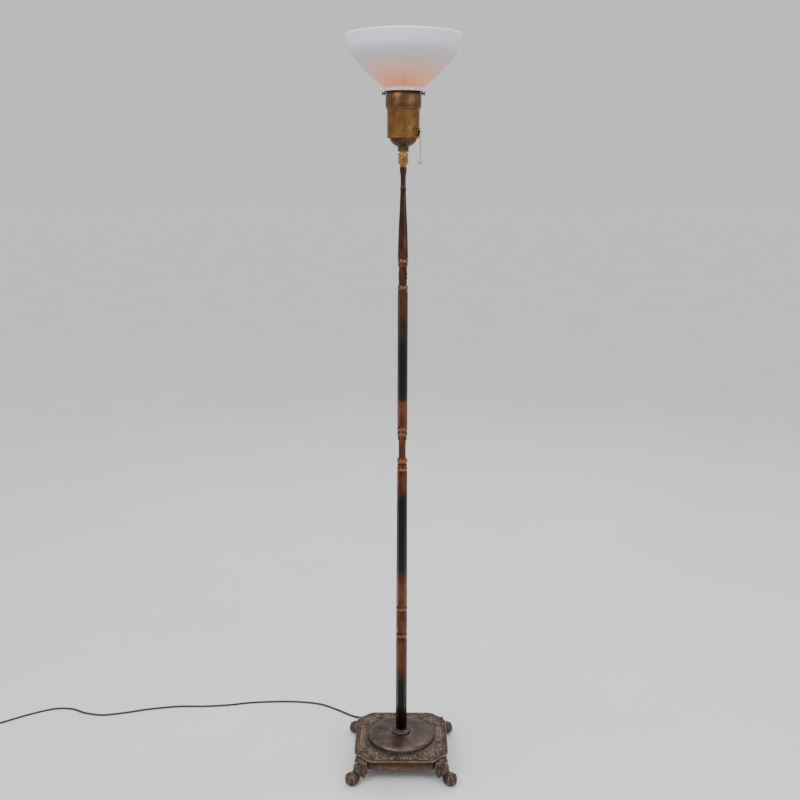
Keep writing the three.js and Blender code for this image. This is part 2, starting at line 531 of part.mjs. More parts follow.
// ---------------------------------------------------------------- wiring and cord
// The cord's route from the bushing to the coil, as x, y and height above the floor.
const CORD_ROUTE = [
  [-57, 98.3, 33.5], [-57, 104, 33.2], [-57.8, 111, 31.2], [-60.2, 118, 26.6], [-65, 124.8, 20],
  [-71.6, 131.2, 13.4], [-79.6, 137.6, 8.2], [-89, 144.4, 4.4], [-100, 152, 2.2], [-113, 161, CORD_FLOOR_Z],
  [-143, 184, CORD_FLOOR_Z], [-179, 205, CORD_FLOOR_Z], [-231, 215, CORD_FLOOR_Z], [-283, 215, CORD_FLOOR_Z],
  [-334, 210, CORD_FLOOR_Z], [-379, 200, CORD_FLOOR_Z], [-432, 194, CORD_FLOOR_Z], [-487, 193, CORD_FLOOR_Z],
  [-550, 181, CORD_FLOOR_Z], [-597, 166, CORD_FLOOR_Z], [-645, 156, CORD_FLOOR_Z], [-683, 164, CORD_FLOOR_Z],
  [-718, 181, CORD_FLOOR_Z], [-752, 182, CORD_FLOOR_Z], [-798, 160, CORD_FLOOR_Z], [-846, 126, CORD_FLOOR_Z],
  [-887, 97.1, CORD_FLOOR_Z],
];

function addWiring() {
  const bendRadius = 12;
  const level = CORD_EXIT.z;
  const bend = cordTube([[CORD_EXIT.x, BUSHING.inner - 4 * GAP, level], [-55, 70.5, level], [-48, 62, level],
    [-34, 44.7, level], [-20, 23.2, level], [-8, 8.4, level + 1], [-1.6, 1.8, level + 5],
    [0, 0, level + bendRadius], [0, 0, 50]], 20);
  const riser = raised(CORD_SECTION, 46, 1184);
  add("riser_cord", join(riser, bend), BLACK_PVC);
  [-1, 1].forEach((side, i) => {
    const points = [[1.4, 0, 1184.9], [2.6, 1, 1187], [7, 7, 1189.4], [11, 13, 1190.2], [11, 15, 1194.2]];
    const curve = new THREE.CatmullRomCurve3(points.map(([x, y, z]) => new THREE.Vector3(x * side, y, z)));
    const shape = new THREE.Shape().absarc(0, 0, 1.1, 0, 2 * Math.PI, false);
    const along = { steps: 8, curveSegments: 3, extrudePath: curve, bevelEnabled: false };
    const wire = new THREE.ExtrudeGeometry(shape, along);
    add(`riser_lead_${i + 1}`, wire, BLACK_PVC);
  });
}

function addCord() {
  const bushingLength = CORD_EXIT.y - BUSHING.inner;
  const body = turned([[0, 0], [4.2, 0], [4.2, 13.8], [6.4, 13.8], [6.4, 16], [4.4, bushingLength],
    [0, bushingLength]], 12);
  body.rotateX(-Math.PI / 2).translate(CORD_EXIT.x, BUSHING.inner, CORD_EXIT.z);
  add("cord_bushing", body, BLACK_PVC);
  add("cord_lead", cordTube(CORD_ROUTE, 64), BLACK_PVC, lamp);
  add("cord_coil", ring(COIL_INNER, COIL_OUTER, COIL_BOTTOM, COIL_TOP, 36), BLACK_PVC, lamp)
    .position.set(COIL_CENTRE.x, COIL_CENTRE.y, 0);

  const strap = 0.7;
  const frame = (margin) => [[COIL_INNER - 2 + margin, 0.2 + margin], [COIL_OUTER + 1 - margin, 0.2 + margin],
    [COIL_OUTER + 1 - margin, COIL_TOP + 1 - margin], [COIL_INNER - 2 + margin, COIL_TOP + 1 - margin]];
  const tie = raised(frame(0), -4, 4);
  const opening = raised(frame(strap), -5, 5);
  const tieGroup = facing(-Math.PI / 3, lamp);
  tieGroup.position.set(COIL_CENTRE.x, COIL_CENTRE.y, 0);
  add("cord_tie", cut(tie, opening).rotateX(Math.PI / 2), BLACK_PVC, tieGroup);

  const tailStart = COIL_CENTRE.y - 22.6;
  const tail = [[PLUG.x, tailStart, 8.6], [PLUG.x, tailStart - 6, 7.9], [PLUG.x, tailStart - 13, 6.7],
    [PLUG.x, PLUG.back + GAP, PLUG.z]];
  add("cord_tail", cordTube(tail, 4), BLACK_PVC, lamp);
}

function addPlug() {
  const w = PLUG.width / 2;
  const length = PLUG.back - PLUG.front;
  const outline = [[-4, 0], [4, 0], [6, -7], [w, -13], [w, -length], [-w, -length], [-w, -13], [-6, -7]];
  const body = raised(outline, PLUG.z - PLUG.height / 2, PLUG.z + PLUG.height / 2);
  body.translate(PLUG.x, PLUG.back, 0);
  const blades = [-1, 1].map((side) => PLUG.x + side * BLADE.spacing / 2);
  const slots = blades.map((x) =>
    box(BLADE.thickness + 2 * GAP, 2 * BLADE.seat, BLADE.width + 2 * GAP).translate(x, PLUG.front, PLUG.z));
  add("plug_body", cut(body, ...slots), BLACK_PVC, lamp);
  blades.forEach((x, i) => {
    const blade = BLADE.length + BLADE.seat - GAP;
    add(`plug_blade_${i + 1}`, box(BLADE.thickness, blade, BLADE.width), BRASS, lamp)
      .position.set(x, PLUG.front - BLADE.length + blade / 2, PLUG.z);
  });
}

addBaseCasting();
addLegs();
addWeight();
addColumn();
addSocket();
addSwitch();
addHolder();
addBowl();
addBulb();
addWiring();
addCord();
addPlug();

export default lamp;
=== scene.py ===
"""The looks of a torchiere floor lamp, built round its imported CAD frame.

Lengths are metres. The outlines given to Shape, and names that end in MM, are millimetres.
"""

import json
import math

import bmesh
import bpy
from mathutils import Matrix, Vector


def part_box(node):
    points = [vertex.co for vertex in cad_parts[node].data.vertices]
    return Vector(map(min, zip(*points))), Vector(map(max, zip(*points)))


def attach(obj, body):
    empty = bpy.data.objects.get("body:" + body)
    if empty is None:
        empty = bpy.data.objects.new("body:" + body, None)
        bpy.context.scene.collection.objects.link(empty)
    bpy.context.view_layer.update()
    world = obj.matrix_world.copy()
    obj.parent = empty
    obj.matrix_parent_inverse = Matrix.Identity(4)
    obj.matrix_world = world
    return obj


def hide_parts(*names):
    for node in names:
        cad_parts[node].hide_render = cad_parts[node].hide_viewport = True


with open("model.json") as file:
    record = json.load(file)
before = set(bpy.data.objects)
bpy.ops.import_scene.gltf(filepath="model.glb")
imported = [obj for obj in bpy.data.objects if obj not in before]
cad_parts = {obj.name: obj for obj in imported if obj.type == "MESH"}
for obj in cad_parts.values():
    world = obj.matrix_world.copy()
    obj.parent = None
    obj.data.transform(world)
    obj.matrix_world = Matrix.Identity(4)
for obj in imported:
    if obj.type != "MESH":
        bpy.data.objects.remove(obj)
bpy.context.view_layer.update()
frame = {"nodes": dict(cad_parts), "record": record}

MM = 0.001
NODE_SLOT = {row["node"]: row["material_slot"] for row in frame["record"]["subparts"]}
NODE_BODY = {n: body for body, nodes in frame["record"]["behaviour"]["bodies"].items() for n in nodes}


def low(node):
    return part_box(node)[0]


def high(node):
    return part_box(node)[1]


def middle(node):
    return (low(node) + high(node)) / 2


def foot_of(node):
    """A move up to the height where the node starts."""
    return Matrix.Translation((0, 0, low(node).z))


def spin(degrees):
    """A turn about Z."""
    return Matrix.Rotation(math.radians(degrees), 4, "Z")


def polar(radius, angle):
    return radius * math.cos(angle), radius * math.sin(angle)


def placed(name, data):
    """A new object in the scene."""
    thing = bpy.data.objects.new(name, data)
    bpy.context.collection.objects.link(thing)
    return thing


PLATE_FOOT_MM = 19  # height of the casting's lowest edge in the base's outlines
DATUM = low("base_casting").z - PLATE_FOOT_MM * MM  # where the base's outlines and the column's shades start
RAISED = Matrix.Translation((0, 0, DATUM))


# ---------------------------------------------------------------- camera, floor and light
CAMERA_PLACE = Vector((-0.0044, -1.806, 1.119))
CAMERA_PITCH = math.radians(-12.1)
CAMERA_ROLL = math.radians(0.18)
CAMERA_LENS = 44.9  # millimetres, on a sensor 36 mm wide
SOFTBOXES = {  # place, watts, width
    "key_light": ((-1.5, -1.7, 2.5), 34, 1.2),
    "fill_light": ((1.7, -1.5, 1.7), 16, 1.1),
    "rim_light": ((0.5, 1.7, 2.5), 26, 1.4),
}
LIGHT_TARGET = Vector((0, 0, 0.75))
FLOOR_SIZE = 120
SUN_DIRECTION = Vector((0.25, 0.35, -1))
SUN_STRENGTH = 0.75
SUN_WIDTH = math.radians(50)
WORLD_COLOUR = (0.86, 0.87, 0.89, 1)
WORLD_STRENGTH = 0.85


def aim(thing, direction):
    thing.rotation_euler = direction.to_track_quat("-Z", "Y").to_euler()


def make_camera():
    data = bpy.data.cameras.new("camera")
    data.lens = CAMERA_LENS
    camera = placed("camera", data)
    tilt = Matrix.Rotation(math.pi / 2 + CAMERA_PITCH, 4, "X")
    camera.matrix_world = Matrix.Translation(CAMERA_PLACE) @ tilt @ Matrix.Rotation(CAMERA_ROLL, 4, "Z")
    bpy.context.scene.camera = camera


def make_lights():
    for name, (place, watts, width) in SOFTBOXES.items():
        data = bpy.data.lights.new(name, "AREA")
        data.energy = watts
        data.size = width
        light = placed(name, data)
        light.location = place
        aim(light, LIGHT_TARGET - Vector(place))
    sun = bpy.data.lights.new("sun", "SUN")
    sun.energy = SUN_STRENGTH
    sun.angle = SUN_WIDTH
    aim(placed("sun", sun), SUN_DIRECTION)
    world = bpy.data.worlds.new("studio")
    world.use_nodes = True
    background = world.node_tree.nodes["Background"]
    background.inputs["Color"].default_value = WORLD_COLOUR
    background.inputs["Strength"].default_value = WORLD_STRENGTH
    bpy.context.scene.world = world


make_camera()
make_lights()


# ---------------------------------------------------------------- procedural materials
class Finish:
    """A material whose principled shader is fed by textures in the object's own coordinates."""

    def __init__(self, name, metallic=0.0):
        self.material = bpy.data.materials.new(name)
        self.material.use_nodes = True
        self.tree = self.material.node_tree
        self.shader = self.tree.nodes["Principled BSDF"]
        self.shader.inputs["Metallic"].default_value = metallic
        self.place = self.node("ShaderNodeTexCoord").outputs["Object"]

    def node(self, kind, inputs=None, **settings):
        made = self.tree.nodes.new(kind)
        for key, value in settings.items():
            setattr(made, key, value)
        for socket, value in (inputs or {}).items():
            if isinstance(value, bpy.types.NodeSocket):
                self.tree.links.new(value, made.inputs[socket])
            else:
                made.inputs[socket].default_value = value
        return made

    def noise(self, scale, detail=5, stretch=(1, 1, 1), roughness=0.55):
        mapped = self.node("ShaderNodeMapping", {"Vector": self.place, "Scale": stretch}).outputs[0]
        inputs = {"Vector": mapped, "Scale": scale, "Detail": detail, "Roughness": roughness}
        return self.node("ShaderNodeTexNoise", inputs).outputs["Fac"]

    def along(self, axis):
        return self.node("ShaderNodeSeparateXYZ", {"Vector": self.place}).outputs[axis]

    def radius(self):
        """Distance from the lamp's axis."""
        kind = "ShaderNodeVectorMath"
        flat = self.node(kind, {0: self.place, 1: (1, 1, 0)}, operation="MULTIPLY").outputs[0]
        return self.node(kind, {0: flat}, operation="LENGTH").outputs["Value"]

    def edges(self):
        """Above a half on outer edges and below it in creases."""
        return self.node("ShaderNodeNewGeometry").outputs["Pointiness"]

    def math(self, operation, first, second=0.0):
        return self.node("ShaderNodeMath", {0: first, 1: second}, operation=operation).outputs[0]

    def span(self, value, start, end, to_start=0.0, to_end=1.0):
        """The value, stretched from start..end to to_start..to_end and kept inside that."""
        inputs = {"Value": value, "From Min": start, "From Max": end, "To Min": to_start, "To Max": to_end}
        return self.node("ShaderNodeMapRange", inputs).outputs[0]

    def ramp(self, value, stops):
        made = self.node("ShaderNodeValToRGB", {"Fac": value})
        elements = made.color_ramp.elements
        while len(elements) < len(stops):
            elements.new(1.0)
        for element, (position, colour) in zip(elements, stops):
            element.position = position
            element.color = (*colour, 1)
        return made.outputs["Color"]

    def mix(self, factor, first, second):
        first = (*first, 1) if isinstance(first, tuple) else first
        second = (*second, 1) if isinstance(second, tuple) else second
        inputs = {"Factor": factor, "A": first, "B": second}
        made = self.tree.nodes.new("ShaderNodeMix")
        made.data_type = "RGBA"
        for socket in made.inputs:
            if socket.enabled and socket.name in inputs:
                value = inputs[socket.name]
                if isinstance(value, bpy.types.NodeSocket):
                    self.tree.links.new(value, socket)
                else:
                    socket.default_value = value
        return next(socket for socket in made.outputs if socket.enabled)

    def set(self, socket, value):
        if isinstance(value, bpy.types.NodeSocket):
            self.tree.links.new(value, self.shader.inputs[socket])
        else:
            self.shader.inputs[socket].default_value = value
        return self

    def roughness(self, scale, least, most, **noise):
        """Roughness that wanders between two values."""
        return self.set("Roughness", self.span(self.noise(scale, **noise), 0.3, 0.7, least, most))

    def two_tone(self, scale, first, second, **noise):
        """Base colour that wanders between two colours."""
        return self.set("Base Color", self.ramp(self.noise(scale, **noise), [(0.3, first), (0.7, second)]))

    def bumps(self, *layers):
        """Each layer is a height from 0 to 1 and its depth in metres."""
        normal = None
        for value, depth in layers:
            inputs = {"Height": value, "Distance": depth}
            if normal is not None:
                inputs["Normal"] = normal
            normal = self.node("ShaderNodeBump", inputs).outputs["Normal"]
        return self.set("Normal", normal)


BRONZE_SHADES = [(0.3, (0.030, 0.021, 0.018)), (0.5, (0.066, 0.044, 0.036)), (0.75, (0.105, 0.070, 0.056))]
BROWN_CENTRE = [(0.3, (0.045, 0.020, 0.008)), (0.7, (0.100, 0.043, 0.017))]


def cast_bronze(name, sheen_and_wear=0.3, light=(0.30, 0.19, 0.14), skirt=False):
    """Brown patina, near black in the hollows from dirt and painted shade, and lighter on the high edges from
    scuffing and a painted highlight.
    """
    f = Finish(name, metallic=0.8)
    patina = f.ramp(f.noise(55, detail=7), BRONZE_SHADES)
    if skirt:
        across = f.math("MINIMUM", f.math("ABSOLUTE", f.along("X")), f.math("ABSOLUTE", f.along("Y")))
        below = f.span(f.along("Z"), SKIRT_TOP - MM, SKIRT_TOP, 1, 0)
        dark = f.mix(below, patina, (0.022, 0.015, 0.014))
        centre = f.math("MULTIPLY", below, f.span(across, 0.043, 0.050, 1, 0))
        patina = f.mix(centre, dark, f.ramp(f.noise(70), BROWN_CENTRE))
    # Edge brightening: scuffed bronze, plus a painted highlight on the high edges.
    worn_and_sheen = f.math("MULTIPLY", f.span(f.edges(), 0.505, 0.57, 0, sheen_and_wear), f.span(f.noise(120), 0.3, 0.6))
    colour = f.mix(worn_and_sheen, patina, light)
    # Near black in the creases: painted shade, with some dirt.
    f.set("Base Color", f.mix(f.span(f.edges(), 0.495, 0.43, 0.0, 0.9), colour, (0.008, 0.006, 0.005)))
    f.roughness(160, 0.36, 0.56)
    return f.bumps((f.noise(900, detail=3), 0.12 * MM), (f.noise(160), 0.2 * MM)).material


COLUMN_SHADES = [  # height above DATUM, and the lacquer's colour there
    (0.000, (0.008, 0.007, 0.007)),
    (0.160, (0.011, 0.008, 0.007)),
    (0.198, (0.135, 0.041, 0.013)),
    (0.360, (0.145, 0.043, 0.013)),
    (0.395, (0.009, 0.008, 0.008)),
    (0.530, (0.009, 0.008, 0.008)),
    (0.560, (0.140, 0.041, 0.013)),
    (0.721, (0.165, 0.049, 0.015)),
    (0.726, (0.009, 0.008, 0.009)),
    (0.800, (0.011, 0.010, 0.010)),
    (0.840, (0.030, 0.024, 0.021)),
    (0.885, (0.095, 0.034, 0.015)),
    (1.015, (0.105, 0.038, 0.018)),
    (1.045, (0.058, 0.023, 0.016)),
    (1.160, (0.062, 0.027, 0.020)),
]
COLUMN_TOP = COLUMN_SHADES[-1][0]


def shaded_copper(name="shaded_copper", rub_and_sheen_mm=None):
    """Copper plate under a dark lacquer sprayed on in bands, with the beads' crests between two radii made
    brighter: copper showing through the lacquer, plus a painted highlight.
    """
    f = Finish(name, metallic=0.9)
    streak = f.noise(900, detail=3, stretch=(1, 1, 0.02))
    cloud = f.noise(110, detail=6, stretch=(1, 1, 0.4))
    wobble = f.span(cloud, 0.25, 0.75, -0.003, 0.003)
    height = f.math("SUBTRACT", f.along("Z"), DATUM)
    place = f.math("DIVIDE", f.math("ADD", height, wobble), COLUMN_TOP)
    shade = f.ramp(place, [(z / COLUMN_TOP, colour) for z, colour in COLUMN_SHADES])
    mottled = f.mix(f.span(cloud, 0.56, 0.40, 0.0, 0.5), shade, (0.010, 0.008, 0.008))
    colour = f.mix(f.span(streak, 0.55, 0.35, 0.0, 0.4), mottled, (0.012, 0.008, 0.008))
    # Brightens the beads' crests: copper showing through, plus a painted highlight.
    if rub_and_sheen_mm:
        rub_and_highlight = f.span(f.radius(), rub_and_sheen_mm[0] * MM, rub_and_sheen_mm[1] * MM, 0.0, 0.8)
        colour = f.mix(rub_and_highlight, colour, (0.30, 0.115, 0.05))
    f.set("Base Color", colour)
    f.set("Roughness", f.span(cloud, 0.3, 0.7, 0.26, 0.40))
    f.set("Coat Weight", 0.15).set("Coat Roughness", 0.2)
    return f.bumps((streak, 0.03 * MM), (f.noise(700, detail=2), 0.03 * MM)).material


BRASS_SHADES = {  # the patina's dark, plain and light colours
    "antique_brass": ((0.080, 0.036, 0.012), (0.175, 0.084, 0.026), (0.25, 0.125, 0.042)),
    "bright_brass": ((0.10, 0.045, 0.012), (0.29, 0.138, 0.040), (0.44, 0.23, 0.08)),
    "collar_copper": ((0.060, 0.028, 0.013), (0.135, 0.064, 0.029), (0.21, 0.11, 0.055)),
    "cap_bronze": ((0.022, 0.013, 0.008), (0.080, 0.043, 0.017), (0.17, 0.088, 0.032)),
}


def aged_brass(name):
    """Brass or bronze with a mottled patina of three shades, brighter on scuffed edges, partly as a painted
    highlight.
    """
    f = Finish(name, metallic=0.9)
    mottle = f.noise(75, detail=7, roughness=0.65)
    dark, plain, light = BRASS_SHADES[name]
    patina = f.ramp(mottle, [(0.28, dark), (0.5, plain), (0.74, light)])
    # Edge brightening: scuffed brass, partly a painted highlight.
    worn_and_sheen = f.math("MULTIPLY", f.span(f.edges(), 0.51, 0.57, 0, 0.45), f.span(f.noise(180), 0.35, 0.6))
    bright = tuple(min(1.0, 1.5 * c + 0.03) for c in light)
    f.set("Base Color", f.mix(worn_and_sheen, patina, bright))
    f.roughness(220, 0.34, 0.52)
    return f.bumps((f.noise(420, detail=2, stretch=(1, 1, 0.15)), 0.04 * MM), (mottle, 0.06 * MM)).material


def plain_metal(name, colour, roughness):
    """Turned or rolled metal with fine tool marks and a little tarnish."""
    f = Finish(name, metallic=0.95)
    dull = tuple(0.45 * c for c in colour)
    f.set("Base Color", f.mix(f.span(f.noise(120, detail=6), 0.35, 0.7, 0.0, 0.8), colour, dull))
    f.roughness(500, roughness * 0.7, roughness * 1.4, stretch=(1, 1, 0.2))
    return f.bumps((f.noise(900, detail=2), 0.02 * MM)).material


BOWL_FOOT = low("glass_bowl").z
BOWL_RIM = high("glass_bowl").z
BOWL_SHADES = [  # share of the bowl's height, and the glass's colour there
    (0.000, (0.62, 0.54, 0.58)),
    (0.048, (0.66, 0.54, 0.55)),
    (0.074, (0.86, 0.28, 0.12)),
    (0.140, (0.84, 0.30, 0.15)),
    (0.250, (0.77, 0.35, 0.22)),
    (0.400, (0.66, 0.42, 0.34)),
    (0.580, (0.60, 0.54, 0.55)),
    (0.760, (0.66, 0.68, 0.74)),
    (0.965, (0.74, 0.77, 0.84)),
    (0.985, (0.98, 0.98, 1.0)),
]
WAFFLE_FOOT = BOWL_FOOT + 36.6 * MM  # heights between which the waffle pattern fades in and out
WAFFLE_TOP = BOWL_FOOT + 71.6 * MM
WAFFLE_FADE = 8 * MM  # the height over which it does so
WAFFLE_COLUMNS = 124
WAFFLE_ROW = 3.7 * MM  # height of one row


def milk_glass():
    """Opal glass coloured by height: lavender at the neck, orange low on the bowl, paling to lavender-white
    higher up and nearly white at the lip, with the waffle's lines in painted shade.
    """
    f = Finish("milk_glass")
    share = f.span(f.along("Z"), BOWL_FOOT, BOWL_RIM)
    drift = f.math("ADD", share, f.span(f.noise(18, detail=3), 0.3, 0.7, -0.008, 0.008))
    around = f.math("MULTIPLY", f.math("ARCTAN2", f.along("Y"), f.along("X")), WAFFLE_COLUMNS / 2)
    up = f.math("MULTIPLY", f.along("Z"), math.pi / WAFFLE_ROW)
    line = [f.math("POWER", f.math("ABSOLUTE", f.math("COSINE", turn)), 8) for turn in (around, up)]
    fade = f.math("MULTIPLY", f.span(f.along("Z"), WAFFLE_FOOT, WAFFLE_FOOT + WAFFLE_FADE),
                  f.span(f.along("Z"), WAFFLE_TOP, WAFFLE_TOP - WAFFLE_FADE))
    waffle = f.math("MULTIPLY", f.math("MAXIMUM", *line), fade)
    shade = f.ramp(drift, BOWL_SHADES)
    f.set("Base Color", f.mix(f.math("MULTIPLY", waffle, 0.6), shade, (0.34, 0.32, 0.34)))
    f.roughness(60, 0.12, 0.24)
    f.set("Subsurface Weight", 0.25).set("Subsurface Scale", 0.004)
    f.set("Subsurface Radius", (1.0, 0.55, 0.4)).set("Coat Weight", 0.4).set("Coat Roughness", 0.06)
    return f.bumps((f.noise(120, detail=2), 0.05 * MM)).material


def frosted_glass():
    f = Finish("frosted_glass")
    f.two_tone(40, (0.80, 0.79, 0.76), (0.90, 0.89, 0.86)).roughness(300, 0.32, 0.5)
    f.set("Subsurface Weight", 0.3).set("Subsurface Scale", 0.004)
    return f.bumps((f.noise(1500, detail=2), 0.02 * MM)).material


def porcelain():
    f = Finish("porcelain")
    f.two_tone(70, (0.66, 0.62, 0.54), (0.82, 0.79, 0.73)).roughness(90, 0.12, 0.3)
    return f.bumps((f.noise(260, detail=3), 0.06 * MM)).material


def moulded(name, colour, roughness, grain=900):
    """Rubber, plastic or fibre: nearly one colour, with dust and a fine moulded grain."""
    f = Finish(name)
    dusty = tuple(c * 1.9 + 0.012 for c in colour)
    f.set("Base Color", f.mix(f.span(f.noise(130, detail=7), 0.45, 0.75, 0.0, 0.7), colour, dusty))
    f.roughness(200, roughness * 0.8, roughness * 1.2)
    return f.bumps((f.noise(grain, detail=3), 0.05 * MM)).material


def pale_floor():
    f = Finish("pale_floor")
    f.two_tone(2.2, (0.76, 0.76, 0.755), (0.80, 0.80, 0.795), detail=8).roughness(8, 0.5, 0.7)
    return f.bumps((f.noise(90, detail=6), 0.3 * MM)).material


SKIRT_TOP = DATUM + 34 * MM
FINISHES = {
    "bronze_casting": cast_bronze("bronze_casting", sheen_and_wear=0.7, light=(0.42, 0.29, 0.22), skirt=True),
    "iron": moulded("iron", (0.035, 0.033, 0.031), 0.75, grain=300),
    "steel": plain_metal("steel", (0.42, 0.41, 0.40), 0.38),
    "shaded_copper": shaded_copper(),
    "antique_brass": aged_brass("antique_brass"),
    "bright_brass": aged_brass("bright_brass"),
    "chain_brass": plain_metal("chain_brass", (0.60, 0.43, 0.19), 0.28),
    "fibre": moulded("fibre", (0.16, 0.10, 0.06), 0.85),
    "porcelain": porcelain(),
    "milk_glass": milk_glass(),
    "bulb_glass": frosted_glass(),
    "cord_rubber": moulded("cord_rubber", (0.010, 0.010, 0.010), 0.42),
    "plug_black": moulded("plug_black", (0.012, 0.012, 0.012), 0.36, grain=1400),
    "plug_brass": plain_metal("plug_brass", (0.66, 0.48, 0.22), 0.26),
}
COLLAR_COPPER = aged_brass("collar_copper")
CAP_BRONZE = aged_brass("cap_bronze")
# Strong edge brightening paints the small highlights on the paws' toes and the knee masks.
FOOT_BRONZE = cast_bronze("foot_bronze", sheen_and_wear=0.9, light=(0.42, 0.29, 0.22))
RING_BRONZE = cast_bronze("ring_bronze", sheen_and_wear=0.35, light=(0.16, 0.13, 0.12))
# Copper with bright bead crests: part scuffing, part painted highlight.
RUB_AND_HIGHLIGHT_UPPER = shaded_copper("rub_and_highlight_upper", (9.1, 9.55))
RUB_AND_HIGHLIGHT_MIDDLE = shaded_copper("rub_and_highlight_middle", (9.2, 9.75))
RUB_AND_HIGHLIGHT_LOWER = shaded_copper("rub_and_highlight_lower", (10.85, 11.1))
for node_name, node_object in frame["nodes"].items():
    node_object.data.materials.clear()
    node_object.data.materials.append(FINISHES[NODE_SLOT[node_name]])


# ---------------------------------------------------------------- shape building
def rounded(points, reach, steps=3, closed=True):
    """The outline with each corner eased over `reach` on both its sides."""
    points = [Vector(p) for p in points]
    eased = []
    for i, corner in enumerate(points):
        if not closed and i in (0, len(points) - 1):
            eased.append(corner)
            continue
        back = points[i - 1] - corner
        on = points[(i + 1) % len(points)] - corner
        start = corner + back.normalized() * min(reach, back.length * 0.45)
        end = corner + on.normalized() * min(reach, on.length * 0.45)
        for k in range(steps + 1):
            t = k / steps
            eased.append(start.lerp(corner, t).lerp(corner.lerp(end, t), t))
    return eased


def smooth_line(points, step):
    """A centripetal Catmull-Rom line through the points, with a point about every `step`."""
    points = [Vector(p) for p in points]
    ends = [2 * points[0] - points[1], *points, 2 * points[-1] - points[-2]]
    line = []
    for before, start, end, after in zip(ends, ends[1:], ends[2:], ends[3:]):
        t1 = (start - before).length ** 0.5
        t2 = t1 + (end - start).length ** 0.5
        t3 = t2 + (after - end).length ** 0.5
        count = max(1, round((end - start).length / step))
        for i in range(count):
            t = t1 + (t2 - t1) * i / count
            a = before.lerp(start, t / t1)
            b = start.lerp(end, (t - t1) / (t2 - t1))
            c = end.lerp(after, (t - t2) / (t3 - t2))
            line.append(a.lerp(b, t / t2).lerp(b.lerp(c, (t - t1) / (t3 - t1)), (t - t1) / (t2 - t1)))
    return [*line, points[-1]]


def smooth_profile(points, step):
    """The smooth line through a turned outline's points."""
    return [(p.x, p.y) for p in smooth_line([(r, z, 0) for r, z in points], step)]


def stadium(half_width, half_height, steps=10):
    """An upright slot's outline in a plane, as (across, up)."""
    straight = half_height - half_width
    arc = [(math.cos(math.pi * i / steps), math.sin(math.pi * i / steps)) for i in range(steps + 1)]
    upper = [(half_width * x, straight + half_width * y) for x, y in arc]
    return upper + [(-x, -y) for x, y in upper]


def rectangle(width, height):
    x, y = width / 2, height / 2
    return [(-x, -y), (x, -y), (x, y), (-x, y)]


def bead(radius, groove, bottom, top, steps=8):
    """A half-round bead of a turned profile, from groove to groove."""
    half = (top - bottom) / 2
    angles = [math.pi * (i / steps - 0.5) for i in range(steps + 1)]
    return [(groove + (radius - groove) * math.cos(a), bottom + half + half * math.sin(a)) for a in angles]


class Shape:
    """Collects the vertices and faces of one piece, then makes its object."""

    def __init__(self):
        self.vertices = []
        self.faces = []

    def loft(self, rings, at=Matrix.Identity(4), loop=False):
        """A skin over rings of the same number of points. A loop joins the last ring to the first."""
        first = len(self.vertices)
        count = len(rings[0])
        self.vertices.extend(at @ Vector(p) for ring in rings for p in ring)
        pairs = list(zip(range(len(rings)), range(1, len(rings))))
        if loop:
            pairs.append((len(rings) - 1, 0))
        for a, b in pairs:
            for i in range(count):
                j = (i + 1) % count
                self.faces.append([first + a * count + i, first + a * count + j,
                                   first + b * count + j, first + b * count + i])
        if not loop:
            last = first + (len(rings) - 1) * count
            self.faces.append([first + i for i in reversed(range(count))])
            self.faces.append([last + i for i in range(count)])
        return self

    def turn(self, profile, segments=64, at=Matrix.Identity(4), radius_at=None, loop=False):
        """A turned solid from (radius, height) in millimetres. radius_at changes a radius round the turn."""
        rings = []
        for r, z in profile:
            ring = []
            for i in range(segments):
                angle = math.tau * i / segments
                radius = max(r, 0.01) if radius_at is None else radius_at(angle, r, z)
                ring.append((radius * math.cos(angle) * MM, radius * math.sin(angle) * MM, z * MM))
            rings.append(ring)
        return self.loft(rings, at, loop)

    def ball(self, centre, radii, at=Matrix.Identity(4), turned=0.0, segments=16):
        """An ellipsoid in millimetres, turned about Z by an angle in degrees."""
        steps = segments // 2
        local = at @ Matrix.Translation(Vector(centre) * MM) @ spin(turned)
        local = local @ Matrix.Diagonal((*[r * MM for r in radii], 1))
        angles = [math.pi * (i / steps - 0.5) for i in range(steps + 1)]
        rings = []
        for a in angles:
            r = max(math.cos(a), 0.02)
            rings.append([(*polar(r, math.tau * i / segments), math.sin(a)) for i in range(segments)])
        return self.loft(rings, local)

    def sweep(self, points, section, at=Matrix.Identity(4), size=None):
        """A section of (across, up) carried along the points without rolling. size(t) scales it."""
        rings = []
        across = Vector((1, 0, 0))
        for i, point in enumerate(points):
            ahead = points[min(i + 1, len(points) - 1)] - points[max(i - 1, 0)]
            side = Vector((0, 0, 1)).cross(ahead)
            if side.length > 0.1 * ahead.length:
                across = side.normalized()
            up = ahead.cross(across).normalized()
            scale = size(i / (len(points) - 1)) if size else 1.0
            rings.append([point + (across * x + up * y) * scale for x, y in section])
        return self.loft(rings, at)

    def mesh(self, name):
        made = bpy.data.meshes.new(name)
        made.from_pydata([tuple(v) for v in self.vertices], [], self.faces)
        return made

    def build(self, name, *nodes, finish=None, crease=40):
        """The finished object, which stands for the CAD nodes and rides with the first of them."""
        mesh = self.mesh(name)
        tidy = bmesh.new()
        tidy.from_mesh(mesh)
        bmesh.ops.recalc_face_normals(tidy, faces=tidy.faces)
        tidy.to_mesh(mesh)
        tidy.free()
        mesh.shade_smooth()
        mesh.set_sharp_from_angle(angle=math.radians(crease))
        return dress(placed(name, mesh), *nodes, finish=finish)


def dress(piece, *nodes, finish=None):
    piece.data.materials.clear()
    piece.data.materials.append(finish or FINISHES[NODE_SLOT[nodes[0]]])
    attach(piece, NODE_BODY[nodes[0]])
    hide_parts(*nodes)
    return piece


